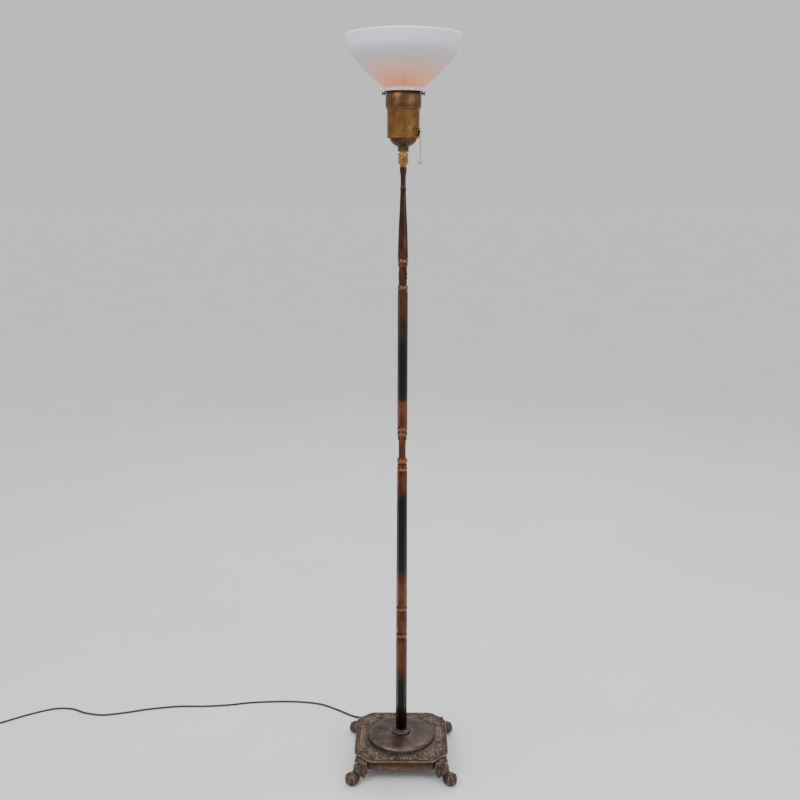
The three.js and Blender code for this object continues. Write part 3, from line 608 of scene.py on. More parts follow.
def turned_piece(name, node, profile, segments, radius_at=None, loop=True, **looks):
    """A turned piece that stands on the foot of its node."""
    return Shape().turn(profile, segments, foot_of(node), radius_at, loop).build(name, node, **looks)


def applied(thing):
    """The thing's mesh with its modifiers worked in."""
    bpy.context.view_layer.update()
    return bpy.data.meshes.new_from_object(thing.evaluated_get(bpy.context.evaluated_depsgraph_get()))


def cut_with(piece, tool_shape):
    """Takes the tool's volume out of the piece."""
    tool = placed("cutter", tool_shape.mesh("cutter"))
    cut = piece.modifiers.new("cut", "BOOLEAN")
    cut.operation = "DIFFERENCE"
    cut.object = tool
    made = applied(piece)
    piece.modifiers.clear()
    piece.data = made
    bpy.data.objects.remove(tool)
    return piece


# ---------------------------------------------------------------- cord and plug
CORD_LENGTH_STEP = 3 * MM
CORD_FLOOR = 1.5 * MM  # height of the cord's middle where it lies on the floor
CORD_WIDTH = 5.4 * MM
CORE_RADIUS = 1.4 * MM
CORD_ROUTE = [Vector(p) for p in (
    (-0.057, 0.0983, 0.0335), (-0.057, 0.104, 0.0332), (-0.0578, 0.111, 0.0312), (-0.0602, 0.118, 0.0266),
    (-0.065, 0.1248, 0.020), (-0.0716, 0.1312, 0.0134), (-0.0796, 0.1376, 0.0082), (-0.089, 0.1444, 0.0044),
    (-0.100, 0.152, 0.0022), (-0.113, 0.161, CORD_FLOOR), (-0.143, 0.184, CORD_FLOOR),
    (-0.179, 0.205, CORD_FLOOR), (-0.231, 0.215, CORD_FLOOR), (-0.283, 0.215, CORD_FLOOR),
    (-0.334, 0.210, CORD_FLOOR), (-0.379, 0.200, CORD_FLOOR), (-0.432, 0.194, CORD_FLOOR),
    (-0.487, 0.193, CORD_FLOOR), (-0.550, 0.181, CORD_FLOOR), (-0.597, 0.166, CORD_FLOOR),
    (-0.645, 0.156, CORD_FLOOR), (-0.683, 0.164, CORD_FLOOR), (-0.718, 0.181, CORD_FLOOR),
    (-0.752, 0.182, CORD_FLOOR), (-0.798, 0.160, CORD_FLOOR), (-0.846, 0.126, CORD_FLOOR),
    (-0.887, 0.0971, CORD_FLOOR),
)]
COIL_START = math.radians(125.2)
COIL_END = math.radians(180)
COIL_RADII = (38 * MM, 32.5 * MM, 27 * MM)
COIL_TURNS = (0, 1, 2, 2, 1, 0, 0)  # which radius each turn has, from the floor up
COIL_LAYERS = (2.6 * MM, 5.5 * MM, 8.4 * MM)
TURN_LAYERS = (0, 0, 0, 1, 1, 1, 2)
POINTS_PER_TURN = 24
CHANGE_SHARE = 0.12  # share of a turn in which the cord steps across to the next one


def coil_points():
    """The wound part of the cord, in three flat layers."""
    centre = middle("cord_coil")
    extra = round((COIL_END - COIL_START) / math.tau * POINTS_PER_TURN)
    points = []
    for i in range(len(COIL_TURNS) * POINTS_PER_TURN + extra + 1):
        turn, share = divmod(i / POINTS_PER_TURN, 1)
        now = min(int(turn), len(COIL_TURNS) - 1)
        after = min(now + 1, len(COIL_TURNS) - 1)
        change = max(0.0, 1 - (1 - share) / CHANGE_SHARE) if turn < len(COIL_TURNS) else 0.0
        radius = COIL_RADII[COIL_TURNS[now]] * (1 - change) + COIL_RADII[COIL_TURNS[after]] * change
        level = COIL_LAYERS[TURN_LAYERS[now]] * (1 - change) + COIL_LAYERS[TURN_LAYERS[after]] * change
        angle = COIL_START + math.tau * i / POINTS_PER_TURN
        points.append(Vector((centre.x, centre.y, 0)) + Vector((*polar(radius, angle), level)))
    return points


def cord_section():
    """Two round cores side by side with a web between them, as a flat twin cord has."""
    offset = CORD_WIDTH / 2 - CORE_RADIUS
    round_core = [polar(CORE_RADIUS, math.radians(d)) for d in range(-120, 121, 30)]
    right = [(offset + x, y) for x, y in round_core]
    return right + [(-x, -y) for x, y in right]


def make_cord():
    plug_back = Vector((middle("plug_body").x, high("plug_body").y, middle("plug_body").z))
    wound = coil_points()
    tail = [plug_back + Vector((0, 14 * MM, 0.9 * MM)), plug_back + Vector((0, 5 * MM, 0.1 * MM)), plug_back]
    path = [Vector((p.x, p.y, max(p.z, CORD_FLOOR))) for p in
            smooth_line([*CORD_ROUTE, *wound, *tail], CORD_LENGTH_STEP)]
    flex = Shape().sweep(path, cord_section()).build("flex", "cord_lead", "cord_coil", "cord_tail", crease=70)
    pieces = [make_tie(), make_plug(), *make_blades()]


TIE_TURN = -60  # degrees: the side of the coil that the strap is on
TIE_WIDTH = 7.2 * MM
TIE_THICKNESS = 0.8 * MM


def make_tie():
    """A soft strap round one side of the coil, with a tucked end."""
    centre = middle("cord_coil")
    inner, outer = COIL_RADII[-1] - 4 * MM, COIL_RADII[0] + 3.6 * MM
    bottom, top = 0.6 * MM, high("cord_coil").z + 0.7 * MM
    corners = [(inner, bottom), (outer, bottom), (outer, top), (inner, top)]
    at = Matrix.Translation((centre.x, centre.y, 0)) @ spin(TIE_TURN)
    loop = rounded([Vector((r, 0, z)) for r, z in corners], 2.6 * MM, steps=5)
    rings = []
    for i, point in enumerate(loop):
        ahead = (loop[(i + 1) % len(loop)] - loop[i - 1]).normalized()
        out = ahead.cross(Vector((0, 1, 0)))
        rings.append([point + out * t + Vector((0, w, 0)) for w, t in rectangle(TIE_WIDTH, TIE_THICKNESS)])
    return Shape().loft(rings, at, loop=True).build("tie", "cord_tie", crease=50)


PLUG_STATIONS = [  # share of the length from the cord's end, and of the full width and height
    (0.0, 0.34, 0.38), (0.08, 0.36, 0.42), (0.20, 0.44, 0.62), (0.30, 0.62, 0.74), (0.42, 0.86, 0.86),
    (0.46, 0.90, 0.80), (0.50, 0.94, 0.90), (0.54, 0.96, 0.84), (0.58, 0.98, 0.94), (0.62, 0.99, 0.88),
    (0.68, 1.0, 1.0), (0.94, 1.0, 1.0), (0.985, 0.985, 0.96), (1.0, 0.94, 0.88),
]


def make_plug():
    """A moulded flat plug with a waist, finger ridges and a soft front edge."""
    lowest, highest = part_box("plug_body")
    centre = middle("plug_body")
    width, height = highest.x - lowest.x, highest.z - lowest.z
    rings = []
    for share, wide, tall in PLUG_STATIONS:
        y = highest.y - share * (highest.y - lowest.y)
        outline = rounded(rectangle(width * wide, height * tall), 3.2 * MM, steps=5)
        rings.append([(centre.x + x, y, centre.z + z) for x, z in outline])
    return Shape().loft(rings).build("plug", "plug_body", crease=50)


def make_blades():
    blades = []
    for name in ("plug_blade_1", "plug_blade_2"):
        lowest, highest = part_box(name)
        centre = middle(name)
        thick = highest.x - lowest.x
        rings = []
        tip = lowest.y
        for y, share in ((highest.y, 1.0), (tip + 1.6 * MM, 1.0), (tip + 0.5 * MM, 0.82), (tip, 0.62)):
            outline = rounded(rectangle(thick * share, (highest.z - lowest.z) * (0.5 + share / 2)), 0.3 * MM)
            rings.append([(centre.x + x, y, centre.z + z) for x, z in outline])
        blade = Shape().loft(rings).build(name.replace("plug_", ""), name)
        across = Matrix.Translation((centre.x - 3 * MM, tip + 4 * MM, centre.z))
        hole = Shape().turn([(1.6, 0), (1.6, 6)], 24, across @ Matrix.Rotation(math.pi / 2, 4, "Y"))
        blades.append(cut_with(blade, hole))
    return blades


make_cord()


# ---------------------------------------------------------------- base
BASE_WIDTH_MM = 182
BASE_CHAMFER_MM = 29
CORNER_SHARPNESS = 46  # how tightly the plate's eight corners turn
DOME_RADIUS_MM = 64.5
FIELD_MM = 38.2  # height of the sunk ground that the relief stands on
RELIEF_MM = 38.5  # height of the relief's centre line
ROSETTE_OUT_MM = 84  # distance of a corner's rosette from the axis
BASE_SEGMENTS = 288
PLATE_SIDES = [(math.radians(45 * k), BASE_WIDTH_MM / 2 if k % 2 == 0 else
                (BASE_WIDTH_MM - BASE_CHAMFER_MM) / math.sqrt(2)) for k in range(8)]


def plate_radius(angle, inset):
    """Distance from the axis to the chamfered square's edge, `inset` inside the plate, in millimetres."""
    total = 0.0
    for facing, distance in PLATE_SIDES:
        total += max(0.0, math.cos(angle - facing) / (distance - inset)) ** CORNER_SHARPNESS
    return total ** (-1 / CORNER_SHARPNESS)


def base_radius(angle, r, z):
    """Negative radii of the base's profile are insets from the plate's edge."""
    return plate_radius(angle, -r) if r <= 0 else r


def spiral(centre, radius, turns, start, hand, tail=None):
    """A scroll that winds in to its centre, with an optional tail point, in millimetres."""
    steps = round(turns * 14)
    points = []
    for i in range(steps + 1):
        t = i / steps
        angle = start + hand * math.tau * turns * t
        r = radius * (1 - 0.86 * t)
        points.append((Vector((*centre, RELIEF_MM)) + Vector((*polar(r, angle), 0))) * MM)
    if tail is None:
        return points
    return [*smooth_line([Vector((*tail, RELIEF_MM)) * MM, points[0], points[1]], 1.5 * MM)[:-1], *points[1:]]


ROUND_SECTION = [polar(MM, math.tau * k / 8) for k in range(8)]


def add_scroll(shape, points, thick, at):
    shape.sweep(points, ROUND_SECTION, at, size=lambda t: thick * (1 - 0.45 * t))


def add_leaf(shape, place, angle, long, wide, at, tall=1.1):
    """A raised leaf with a midrib, pointing along `angle` in degrees."""
    shape.ball((*place, RELIEF_MM - 0.2), (long, wide, tall), at, turned=angle, segments=12)
    midrib = (long * 0.85, wide * 0.22, tall * 0.8)
    shape.ball((*place, RELIEF_MM + 0.5), midrib, at, turned=angle, segments=8)


def add_rosette(shape, place, radius, petals, at):
    for k in range(petals):
        turned = 360 * k / petals
        a = math.radians(turned)
        spot = (place[0] + radius * 0.58 * math.cos(a), place[1] + radius * 0.58 * math.sin(a))
        shape.ball((*spot, RELIEF_MM), (radius * 0.42, radius * 0.24, 1.2), at, turned=turned, segments=10)
    shape.ball((*place, RELIEF_MM + 0.3), (radius * 0.28, radius * 0.28, 1.5), at, segments=12)


def add_side_relief(shape, at):
    """The band along one side: small upright leaves with beads between them, and a scroll at each end."""
    for k in range(-6, 7):
        across = 5.9 * k
        add_leaf(shape, (across, 76.2), 90, 4.6, 1.9, at)
        shape.ball((across, 83.6, RELIEF_MM + 0.1), (1.7, 1.3, 1.1), at, segments=10)
        if k < 6:
            for out in (80, 71.4):
                shape.ball((across + 2.95, out, RELIEF_MM), (1.2, 1.6, 1.0), at, segments=8)
    for hand in (-1, 1):
        start = math.pi / 2 - hand * 0.5
        add_scroll(shape, spiral((hand * 47, 77), 6.8, 1.7, start, -hand, (hand * 37.5, 84.5)), 1.1, at)
        shape.ball((hand * 47, 77, RELIEF_MM + 0.3), (2.2, 2.2, 1.5), at, segments=10)
        add_leaf(shape, (hand * 57, 82), hand * 40, 4.4, 1.6, at)
        add_leaf(shape, (hand * 39.5, 71.2), -hand * 40, 3.4, 1.3, at)


def add_corner_relief(shape, at):
    """A ringed rosette inside each cut corner, with leaves fanned round its outer side."""
    def beside(reach, angle):
        x, y = polar(reach, angle)
        return ROSETTE_OUT_MM + x, y

    add_rosette(shape, (ROSETTE_OUT_MM, 0), 6.4, 8, at)
    ring = [Vector((*beside(8.3, math.tau * k / 36), RELIEF_MM)) * MM for k in range(37)]
    shape.sweep(ring, ROUND_SECTION, at, size=lambda t: 0.8)
    for turned in range(-125, 126, 25):
        add_leaf(shape, beside(12.6, math.radians(turned)), turned, 3.4, 1.7, at)
    for turned in (-36, -12, 12, 36):
        place = (*beside(17.6, math.radians(turned)), RELIEF_MM)
        shape.ball(place, (1.2, 1.2, 1.1), at, segments=8)


def make_base():
    """The cast plate with its skirt and pillow dome, then the relief that stands on its field."""
    inside = [(5.6, 46.4), (22, 46.5), (42, 45), (56, 43), (59, 40.4), (60.4, 34.6), (-5.6, 34.4), (-5.4, 20),
              (-4.6, 19.1), (-2.7, 19.1), (-2.3, 19.5), (-2.3, 33), (-2.0, 34), (-1.3, 34.9), (-0.6, 35.4),
              (-0.1, 35.7), (-0.001, 36.1), (-0.001, 38.2), (-0.2, 38.6), (-0.7, 38.8), (-1.5, 38.8),
              (-2.0, 38.5), (-2.3, 38.1), (-2.8, FIELD_MM - 0.2)]
    dome = [(67.6, FIELD_MM - 0.1), (66.6, FIELD_MM), (65.7, 38.5), (64.9, 39.1), (64.6, 40.2), (64.4, 41.6),
            (64, 43), (63.1, 44.6), (61.6, 45.9), (59.4, 46.9), (56, 47.8), (51, 48.5), (44, 49.1),
            (34, 49.7), (24, 50.1), (20.5, 50.45), (5.6, 50.45)]
    base = Shape().turn([*inside, *dome], BASE_SEGMENTS, RAISED, base_radius, loop=True)
    for k in range(4):
        add_side_relief(base, RAISED @ spin(90 * k))
        add_corner_relief(base, RAISED @ spin(45 + 90 * k))
    base.build("base", "base_casting", crease=50)
    ring = [(5.6, 0.05), (18, 0), (19, 0.4), (19.5, 1.5), (19.4, 2.8), (18.8, 4), (17.6, 4.9), (15.4, 5.2),
            (14, 5.4), (13.2, 5.9), (12.8, 6.65), (5.6, 6.7)]
    turned_piece("collar_ring", "seating_ring", ring, 96, finish=RING_BRONZE)


LEG_VOXEL = 0.75 * MM
LEG_INNER_MM = 107  # the leg's flat back, from the lamp's axis along the diagonal
PAW_OUT_MM = 131.5
PAW_HEIGHT_MM = 11.8
LEG_BULK_MM = [  # centre and radii of the balls that the knee and the paw melt together from
    ((109, 0, 38), (9, 15, 6)),
    ((110, 0, 31), (9, 14, 9)),
    ((113, 0, 24), (9, 12.5, 9)),
    ((118, 0, 19), (9, 11, 9)),
    ((PAW_OUT_MM, 0, PAW_HEIGHT_MM), (13.8, 13.8, 12.4)),
]
LOBE_LEAN = Matrix.Rotation(math.radians(-16), 4, "Y")


def make_leg_mesh():
    """One leg, drawn along +X: a leaf mask between two sides, over a ball paw with four shallow toes."""
    leg = Shape()
    for centre, radii in LEG_BULK_MM:
        leg.ball(centre, radii, segments=28)
    for hand in (-1, 1):
        leg.ball((108.6, hand * 13.6, 30), (3.2, 3.2, 13.5), segments=16)
        leg.ball((113, hand * 11.4, 20), (5, 4.2, 11), segments=16)
    for turned in (-66, -35, 0, 35, 66):
        a = math.radians(turned)
        spot = Vector((118.6 - abs(turned) * 0.05, 8.4 * math.sin(a), 38.4 - 7.4 * math.cos(a))) * MM
        lobe = Matrix.Translation(spot) @ Matrix.Rotation(-a, 4, "X") @ LOBE_LEAN
        leg.ball((0, 0, 0), (2.4, 1.9, 6.2), lobe, segments=14)
        leg.ball((1.4, 0, -4.4), (1.8, 1.8, 2.2), lobe, segments=12)
    leg.ball((119.6, 0, 38.4), (3, 3.2, 2.8), segments=14)
    for turned in (-60, -20, 20, 60):
        a = math.radians(turned)
        for reach, z, radii in ((6.2, 11.2, (9.0, 4.1, 11.4)), (9.4, 17.6, (4.2, 3.0, 3.4))):
            x, y = polar(reach, a)
            leg.ball((PAW_OUT_MM + x, y, z), radii, turned=turned, segments=18)
    source = placed("leg_source", leg.mesh("leg"))
    melt = source.modifiers.new("melt", "REMESH")
    melt.mode = "VOXEL"
    melt.voxel_size = LEG_VOXEL
    ease = source.modifiers.new("ease", "SMOOTH")
    ease.factor = 0.5
    ease.iterations = 2
    melted = applied(source)
    bpy.data.objects.remove(source)
    trimmed = bmesh.new()
    trimmed.from_mesh(melted)
    for point, outward in (((LEG_INNER_MM * MM, 0, 0), (-1, 0, 0)), ((0, 0, 0.05 * MM), (0, 0, -1))):
        geometry = [*trimmed.verts, *trimmed.edges, *trimmed.faces]
        plane = {"plane_co": point, "plane_no": outward}
        cut = bmesh.ops.bisect_plane(trimmed, geom=geometry, clear_outer=True, **plane)["geom_cut"]
        bmesh.ops.holes_fill(trimmed, edges=[e for e in cut if isinstance(e, bmesh.types.BMEdge)])
    trimmed.to_mesh(melted)
    trimmed.free()
    melted.shade_smooth()
    melted.set_sharp_from_angle(angle=math.radians(60))
    return melted


def make_legs():
    mesh = make_leg_mesh()
    for name, turned in (("front_left", -135), ("front_right", -45), ("back_right", 45), ("back_left", 135)):
        leg = placed(f"foot_{name}", mesh.copy())
        leg.data.transform(spin(turned))
        dress(leg, f"leg_{name}", finish=FOOT_BRONZE)


# ---------------------------------------------------------------- column
COLUMN_TURN = -4  # degrees: the hexagon isn't quite square to the base
HEX_CORNER = 0.7 * MM
TUBE_ACROSS_MM = {"lower_tube": (22.3, 22.0), "middle_tube": (21.6, 19.4), "upper_tube": (19.3, 19.0)}


def hexagon(across, z):
    """A ring round a hexagon with a flat facing the front, `across` its corners, in millimetres."""
    angles = [math.radians(60 * k + COLUMN_TURN) for k in range(6)]
    corners = [Vector((math.cos(a), math.sin(a), 0)) * across / 2 * MM for a in angles]
    return [Vector((p.x, p.y, z * MM)) for p in rounded(corners, HEX_CORNER)]


def add_hex_bar(shape, bottom, top, low_across, high_across, lip=0.5):
    shape.loft([hexagon(low_across - 2 * lip, bottom), hexagon(low_across - 0.4 * lip, bottom + 0.35 * lip),
                hexagon(low_across, bottom + lip), hexagon(high_across, top - lip),
                hexagon(high_across - 0.4 * lip, top - 0.35 * lip), hexagon(high_across - 2 * lip, top)])


def make_tubes():
    for name, (low_across, high_across) in TUBE_ACROSS_MM.items():
        tube = Shape()
        add_hex_bar(tube, low(name).z / MM, high(name).z / MM, low_across, high_across)
        tube.build(name.replace("_tube", "_section"), name, crease=25)


def add_facet_relief(shape, out, bottom, top):
    """Low ornament on each facet of a break: a leaf between two buds, and a bar at each end."""
    centre = (bottom + top) / 2
    tall = top - bottom
    for k in range(6):
        at = spin(60 * (k + 0.5) + COLUMN_TURN)
        shape.ball((out, 0, centre), (0.55, 1.5, tall * 0.16), at, segments=12)
        for hand in (-1, 1):
            shape.ball((out, 0, centre + hand * tall * 0.27), (0.5, 1.6, tall * 0.06), at, segments=10)
            shape.ball((out, 0, centre + hand * tall * 0.40), (0.45, 2.9, tall * 0.03), at, segments=10)
            for side in (-1, 1):
                place = (out - 0.1, side * 2.5, centre + hand * tall * 0.13)
                shape.ball(place, (0.5, 0.9, tall * 0.11), at, segments=10)


def make_breaks():
    """The cast pieces between the tubes, whose beads are turned and whose bands are embossed."""
    foot = low("lower_break").z / MM
    outline = [(5.6, foot), (10, foot), *bead(11.1, 9, foot + 3.6, foot + 15.1), (9, foot + 15.9),
               (9, foot + 59), *bead(11.1, 9, foot + 59.5, foot + 69.8), (5.6, foot + 69.8)]
    lower = Shape().turn(outline, 72, loop=True)
    add_hex_bar(lower, foot + 0.1, foot + 3.4, 22, 22, 0.9)
    add_hex_bar(lower, foot + 15.8, foot + 58.8, 21.6, 21.6, 1.1)
    add_facet_relief(lower, 9.4, foot + 18, foot + 57)
    lower.build("lower_ornament", "lower_break", finish=RUB_AND_HIGHLIGHT_LOWER, crease=25)

    outline = [(5.6, 0), (8, 0), *bead(9.9, 8.4, 0.4, 7.2), *bead(9.3, 8.2, 7.6, 14.4),
               *bead(9.9, 7.6, 15, 24.6), (7.0, 26), (6.8, 28), (6.7, 42), (6.9, 56), (7.1, 58.6),
               *bead(8.6, 7.2, 59.4, 66.4), *bead(9.7, 8, 67, 76.2), *bead(9.7, 8.2, 76.8, 86.4), (5.6, 86.6)]
    turned_piece("middle_ornament", "middle_break", outline, 72, finish=RUB_AND_HIGHLIGHT_MIDDLE, crease=25)

    foot = low("upper_break").z / MM
    outline = [(5.6, foot), *bead(9.3, 8, foot + 0.1, foot + 2.9), *bead(9.6, 8, foot + 3.3, foot + 11.6),
               (7.6, foot + 12.6), (7.4, foot + 14), (7.4, foot + 44), (7.7, foot + 45.6),
               *bead(9.3, 8, foot + 46.4, foot + 50.2), *bead(9.6, 8.2, foot + 50.8, foot + 59.6),
               (5.6, foot + 59.8)]
    upper = Shape().turn(outline, 72, loop=True)
    add_facet_relief(upper, 7.3, foot + 14, foot + 44)
    upper.build("upper_ornament", "upper_break", finish=RUB_AND_HIGHLIGHT_UPPER, crease=25)


KNURLS = 44
THREAD_PITCH_MM = 6.35


def threaded(depth, radius, bottom):
    """A mogul screw's rounded thread on the parts of a turned piece beyond a radius and above a height."""
    def radius_at(angle, r, z):
        if r < radius or z < bottom:
            return max(r, 0.01)
        return r - depth * (0.5 + 0.5 * math.cos(math.tau * z / THREAD_PITCH_MM - angle))
    return radius_at


def knurled(depth, bottom, top):
    """Fine upright ribs between two heights of a turned piece."""
    def radius_at(angle, r, z):
        return max(r, 0.01) - (depth * (0.5 + 0.5 * math.cos(KNURLS * angle)) if bottom < z < top else 0.0)
    return radius_at


def make_spindle():
    spindle = [(0, 0), (9.2, 0), (9.4, 1), (9.4, 5), (9.1, 14), (8.4, 42), (7.7, 58), (6.8, 76), (5.9, 95),
               (5.1, 114), (4.95, 118.6), (5.2, 119.4), (5.5, 120.6), (5.5, 123), (5.2, 124.6), (4.85, 125.6),
               (4.7, 134), (4.8, 142), (5.2, 147), (5.9, 151), (6.2, 154), (6.2, 159.1), (5.9, 159.5),
               (4.5, 159.5), (4.5, 175.4), (0, 175.4)]
    turned_piece("spindle", "top_spindle", spindle, 64, loop=False, crease=30)
    ferrule = [(4.8, 0), (5.9, 0), (6.3, 0.5), (6.3, 1.2), (5.6, 1.9), (6.3, 2.6), (6.3, 3.4), (5.9, 3.9),
               (4.8, 3.9)]
    turned_piece("ferrule", "spindle_ferrule", ferrule, 64, finish=FINISHES["bright_brass"], crease=30)
    coupling = [(4.8, 0), (7.4, 0), (8.3, 0.6), (8.8, 1.4), *[(9.0, 1.9 + 0.5 * k) for k in range(20)],
                (8.9, 12.1), (8.3, 12.9), (8.1, 13.5), (8.3, 14.1), (8.8, 14.7), (9.0, 16), (8.9, 18),
                (8.4, 19.4), (7.4, 20.2), (5.6, 20.2), (5.6, 12.4), (4.8, 12.3)]
    knurl = knurled(0.5, 1.8, 11.6)
    turned_piece("coupling", "knurled_coupling", coupling, KNURLS * 4, knurl, crease=30)


# ---------------------------------------------------------------- socket and switch
CHAIN_AZIMUTH = math.radians(-28)
SLOT_MM = (3.2, 6.2)  # half the width and height of the slot in the shell
CHAIN_BEADS = 11
CHAIN_SIDE = Matrix.Rotation(CHAIN_AZIMUTH, 4, "Z")


def slot_ring(grow, out_mm, height):
    """A slot-shaped ring, `grow` larger than the slot, at a distance out along +X."""
    return [(out_mm * MM, across * MM, height + up * MM)
            for across, up in stadium(SLOT_MM[0] + grow, SLOT_MM[1] + grow)]


def make_socket():
    cap = [(5.6, 0), (9.2, 0), (9.5, 0.4), (9.8, 7.6), (10.3, 8.6), (12, 9.6), (15, 11), (18, 13),
           (20.6, 15.5), (22.2, 17.8), (23.3, 20.4), (23.9, 22.4), (23.85, 22.95), (22.9, 22.95), (22, 20.4),
           (19.6, 17), (14.4, 12.6), (8, 10.4), (5.6, 10.4)]
    turned_piece("cap", "socket_cap", cap, 96, finish=CAP_BRONZE)

    shell = [(27.5, 0), (28.6, 0), (28.9, 0.3), (28.9, 1.3), (28.5, 1.9), (28.5, 44), (28.7, 44.6),
             (29, 45.2), (29, 46), (28.3, 46.9), (27.5, 46.9)]
    piece = turned_piece("shell", "socket_shell", shell, 128, crease=30)
    height = middle("chain_bushing").z
    cut_with(piece, Shape().loft([slot_ring(0, 20, height), slot_ring(0, 40, height)], CHAIN_SIDE))

    outside = [(28.2, 0), (29.3, 1.1), (30.6, 4), (31.3, 8), (31.5, 14.5), (31.2, 21), (30.2, 26),
               (29.2, 28.4), (28.9, 29.45)]
    inside = [(27.7, 29.45), (28.2, 27), (29.8, 21.5), (30.1, 14), (29.9, 8), (28.4, 2), (27.4, 0)]
    collar = [*smooth_profile(outside, 1.2), *inside]
    turned_piece("barrel", "socket_collar", collar, 96, finish=COLLAR_COPPER)

    wall = [0.2 + 0.9 * k for k in range(36)]
    sleeve = [(9, 0), *[(20.4, z) for z in wall], (20.4, 32.7), (19.7, 32.7),
              *[(19.7, z + 0.7) for z in wall[::-1]], (9, 0.9)]
    turned_piece("threaded_shell", "screw_shell", sleeve, 96, threaded(0.5, 19, 3))

    bell_mouth = [(0.05, 27.9), (1.0, 27.9), (1.1, 29.4), (1.0, 30.1), (0.7, 30.35), (0.35, 30.2),
                  (0.05, 29.6)]
    rings = [slot_ring(grow, out, height) for grow, out in bell_mouth]
    Shape().loft(rings, CHAIN_SIDE, loop=True).build("bell_mouth", "chain_bushing", finish=CAP_BRONZE)


def make_chain():
    lift = Matrix.Translation((middle("chain_connector").x, middle("chain_connector").y, 0))
    connector = [(0, 0), (1.1, 0.05), (1.5, 0.7), (1.7, 1.6), (1.7, 3.4), (1.5, 4.2), (1, 4.9), (0.5, 5.15),
                 (0, 5.2)]
    foot = low("chain_connector").z / MM
    catch = Shape().turn([(r, z + foot) for r, z in connector], 32, lift)
    catch.ball((0, 0, foot - 0.4), (0.5, 0.5, 0.6), lift, segments=10)
    catch.build("catch", "chain_connector")

    top, bottom = high("pull_chain").z / MM, low("pull_chain").z / MM
    pitch = (top - bottom) / CHAIN_BEADS
    chain = Shape()
    for k in range(CHAIN_BEADS):
        chain.ball((0, 0, bottom + pitch * (k + 0.5)), (1.35, 1.35, 1.4), lift, segments=14)
    chain.turn([(0, bottom), (0.36, bottom + 0.05), (0.36, top - 0.05), (0, top)], 10, lift)
    chain.build("chain", "pull_chain")

    foot = low("bell_pull").z / MM
    bell = [(0, 0.9), (2.0, 0.5), (2.6, 0.02), (3.6, 0.7), (3.9, 1.6), (3.85, 2.7), (3.3, 4), (2.7, 5.6),
            (2.35, 7.6), (2.1, 9.4), (1.8, 10.4), (1.1, 11.1), (0, 11.3)]
    Shape().turn([(r, z + foot) for r, z in bell], 48, lift).build("bell", "bell_pull")


# ---------------------------------------------------------------- shade holder, bowl and bulb
def make_holder():
    foot = low("shade_holder").z / MM
    ring = [(28.1, 7.4), (33.2, 7.4), (33.7, 7.5), (33.8, 7.75), (33.7, 8), (33.3, 8.1), (30.6, 8.1),
            (30.4, 8.4), (30.4, 14.6), (30, 15), (29.6, 14.6), (29.6, 9.2), (28.1, 8.9)]
    holder = Shape().turn(ring, 96, foot_of("shade_holder"), loop=True)
    for side in (-1, 1):
        ear = [rounded([(side * x * MM, y * MM, (foot + z) * MM) for y, z in
                        ((-4.4, 8), (4.4, 8), (4.4, 3.4), (2.6, 0.2), (-2.6, 0.2), (-4.4, 3.4))], 1.2 * MM)
               for x in (32.3, 33.5)]
        holder.loft(ear)
    holder.build("holder", "shade_holder", finish=CAP_BRONZE, crease=30)
    for name, side in (("holder_screw_left", -1), ("holder_screw_right", 1)):
        at = Matrix.Translation((0, 0, middle(name).z)) @ Matrix.Rotation(side * math.pi / 2, 4, "Y")
        stem = [(1.5 - 0.2 * (k % 2), 30.4 + 0.35 * k) for k in range(12)]
        rim = [(3.5, 35.4 + 0.3 * k) for k in range(6)]
        thumb = [(0, 29.95), (1.2, 29.95), *stem, (1.5, 35.1), (2.9, 35.2), *rim, (3.1, 37.2), (2.4, 37.45),
                 (0, 37.4)]
        screw = Shape().turn(thumb, 60, at, knurled(0.25, 35.5, 36.7))
        screw.build(name.replace("holder_", "thumb_"), name, finish=CAP_BRONZE, crease=30)


WAFFLE_DEPTH_MM = 0.45
WAFFLE_SHARPNESS = 5  # how narrow the sunk lines are


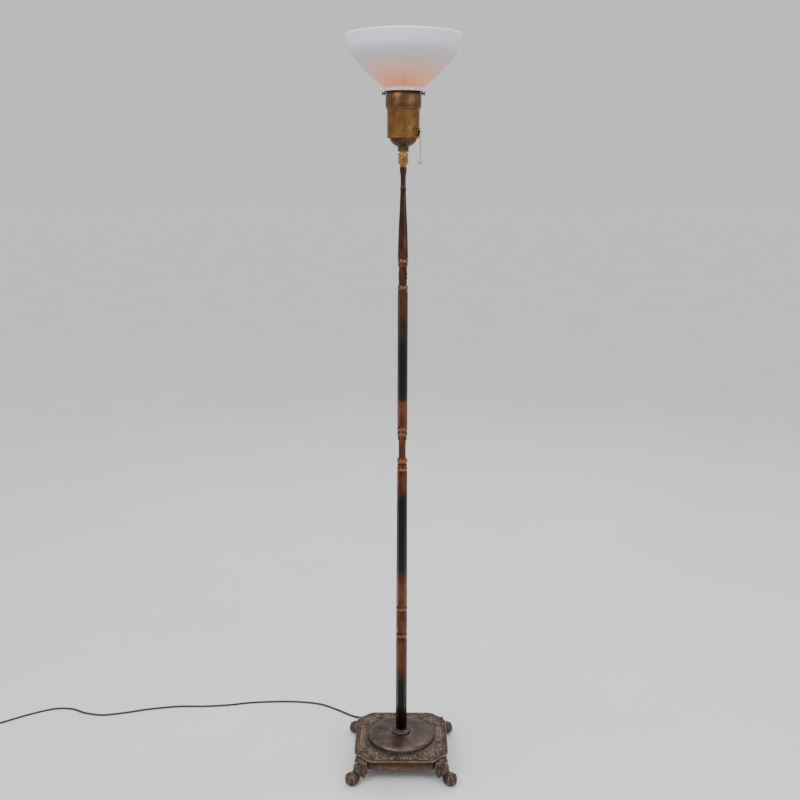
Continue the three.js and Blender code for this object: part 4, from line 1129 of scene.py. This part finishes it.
def make_bowl():
    """The pressed bowl, drawn from its foot up, with the waffle's lines sunk in its outer side."""
    wall = smooth_profile([(34.6, 0.05), (34.6, 5), (36.5, 7.2), (49.2, 17.4), (61.2, 28.4), (71.4, 39),
                           (83.6, 53.2), (90.2, 61.4), (94.8, 69.6), (98.4, 81), (100.9, 90)], 0.7)
    lip = [(101.5, 91.4), (101.55, 92.4), (101, 93.2), (100, 93.58), (98.9, 93.3), (98, 92.4), (97.5, 91)]
    inner = smooth_profile([(96.4, 86), (92.6, 73.4), (87.4, 63.4), (81, 55.4), (68.6, 41.2), (58.6, 30.6),
                            (46.8, 19.8), (34.2, 9.4), (31.8, 6.4), (31.4, 0.05)], 4)
    outer_side = set(wall)
    foot = BOWL_FOOT / MM

    def waffled(angle, r, z):
        height = (z + foot) * MM
        if (r, z) not in outer_side or not WAFFLE_FOOT < height < WAFFLE_TOP:
            return r
        fade = min(1.0, (height - WAFFLE_FOOT) / WAFFLE_FADE, (WAFFLE_TOP - height) / WAFFLE_FADE)
        row = abs(math.cos(math.pi * height / WAFFLE_ROW)) ** WAFFLE_SHARPNESS
        column = abs(math.cos(WAFFLE_COLUMNS / 2 * angle)) ** WAFFLE_SHARPNESS
        return r - WAFFLE_DEPTH_MM * fade * max(row, column)

    turned_piece("bowl", "glass_bowl", [*wall, *lip, *inner], WAFFLE_COLUMNS * 4, waffled, crease=60)


def make_bulb():
    wall = [9 + 0.9 * k for k in range(26)]
    cap = [(0, 0.02), (3.6, 0.05), (4.6, 0.6), (5, 1.4), (8, 2.4), (13, 4), (17.4, 6.2), (18.6, 7.6),
           (18.85, 8.4), *[(19.2, z) for z in wall], (18.7, 33.2), (18.5, 34.3), (0, 34.35)]
    turned_piece("bulb_cap", "bulb_base", cap, 96, threaded(0.55, 18.9, 9), loop=False, crease=30)
    foot = low("bulb_glass").z
    radius = high("bulb_glass").x / MM
    centre = (high("bulb_glass").z - foot) / MM - radius
    envelope = smooth_profile([(15, 0.05), (15.8, 3.7), (17.6, 10.7), (21.2, 21.2), (25.6, 31.2),
                               (28.6, 40.7), (radius, centre)], 1.5)
    crown = [(x, centre + y) for x, y in (polar(radius, math.radians(5 * k)) for k in range(1, 18))]
    glass = [(0, 0.05), *envelope, *crown, (0, centre + radius)]
    turned_piece("globe", "bulb_glass", glass, 96, loop=False)


# ---------------------------------------------------------------- cord bushing
def make_strain_relief():
    """A rubber bushing with grip rings that tapers on to the cord."""
    start = Vector((middle("cord_bushing").x, low("cord_bushing").y, middle("cord_bushing").z))
    at = Matrix.Translation(start) @ Matrix.Rotation(-math.pi / 2, 4, "X")
    taper = (6.0, 5.8, 5.5, 5.2, 4.9, 4.7, 4.5)
    rings = [(radius - 0.35 * (k % 2), 16.4 + 0.75 * k) for k, radius in enumerate(taper)]
    outline = [(0, 0), (3.9, 0), (4.2, 0.4), (4.2, 13.8), (6.1, 13.9), (6.4, 14.4), (6.4, 15.6), *rings,
               (4.2, 21.7), (3.6, 21.98), (0, 21.98)]
    Shape().turn(outline, 64, at).build("strain_relief", "cord_bushing", crease=30)


make_base()
make_legs()
make_tubes()
make_breaks()
make_spindle()
make_socket()
make_chain()
make_holder()
make_bowl()
make_bulb()
make_strain_relief()

bpy.ops.mesh.primitive_plane_add(size=FLOOR_SIZE)
floor = bpy.context.object
floor.name = "floor"
floor.data.materials.append(pale_floor())
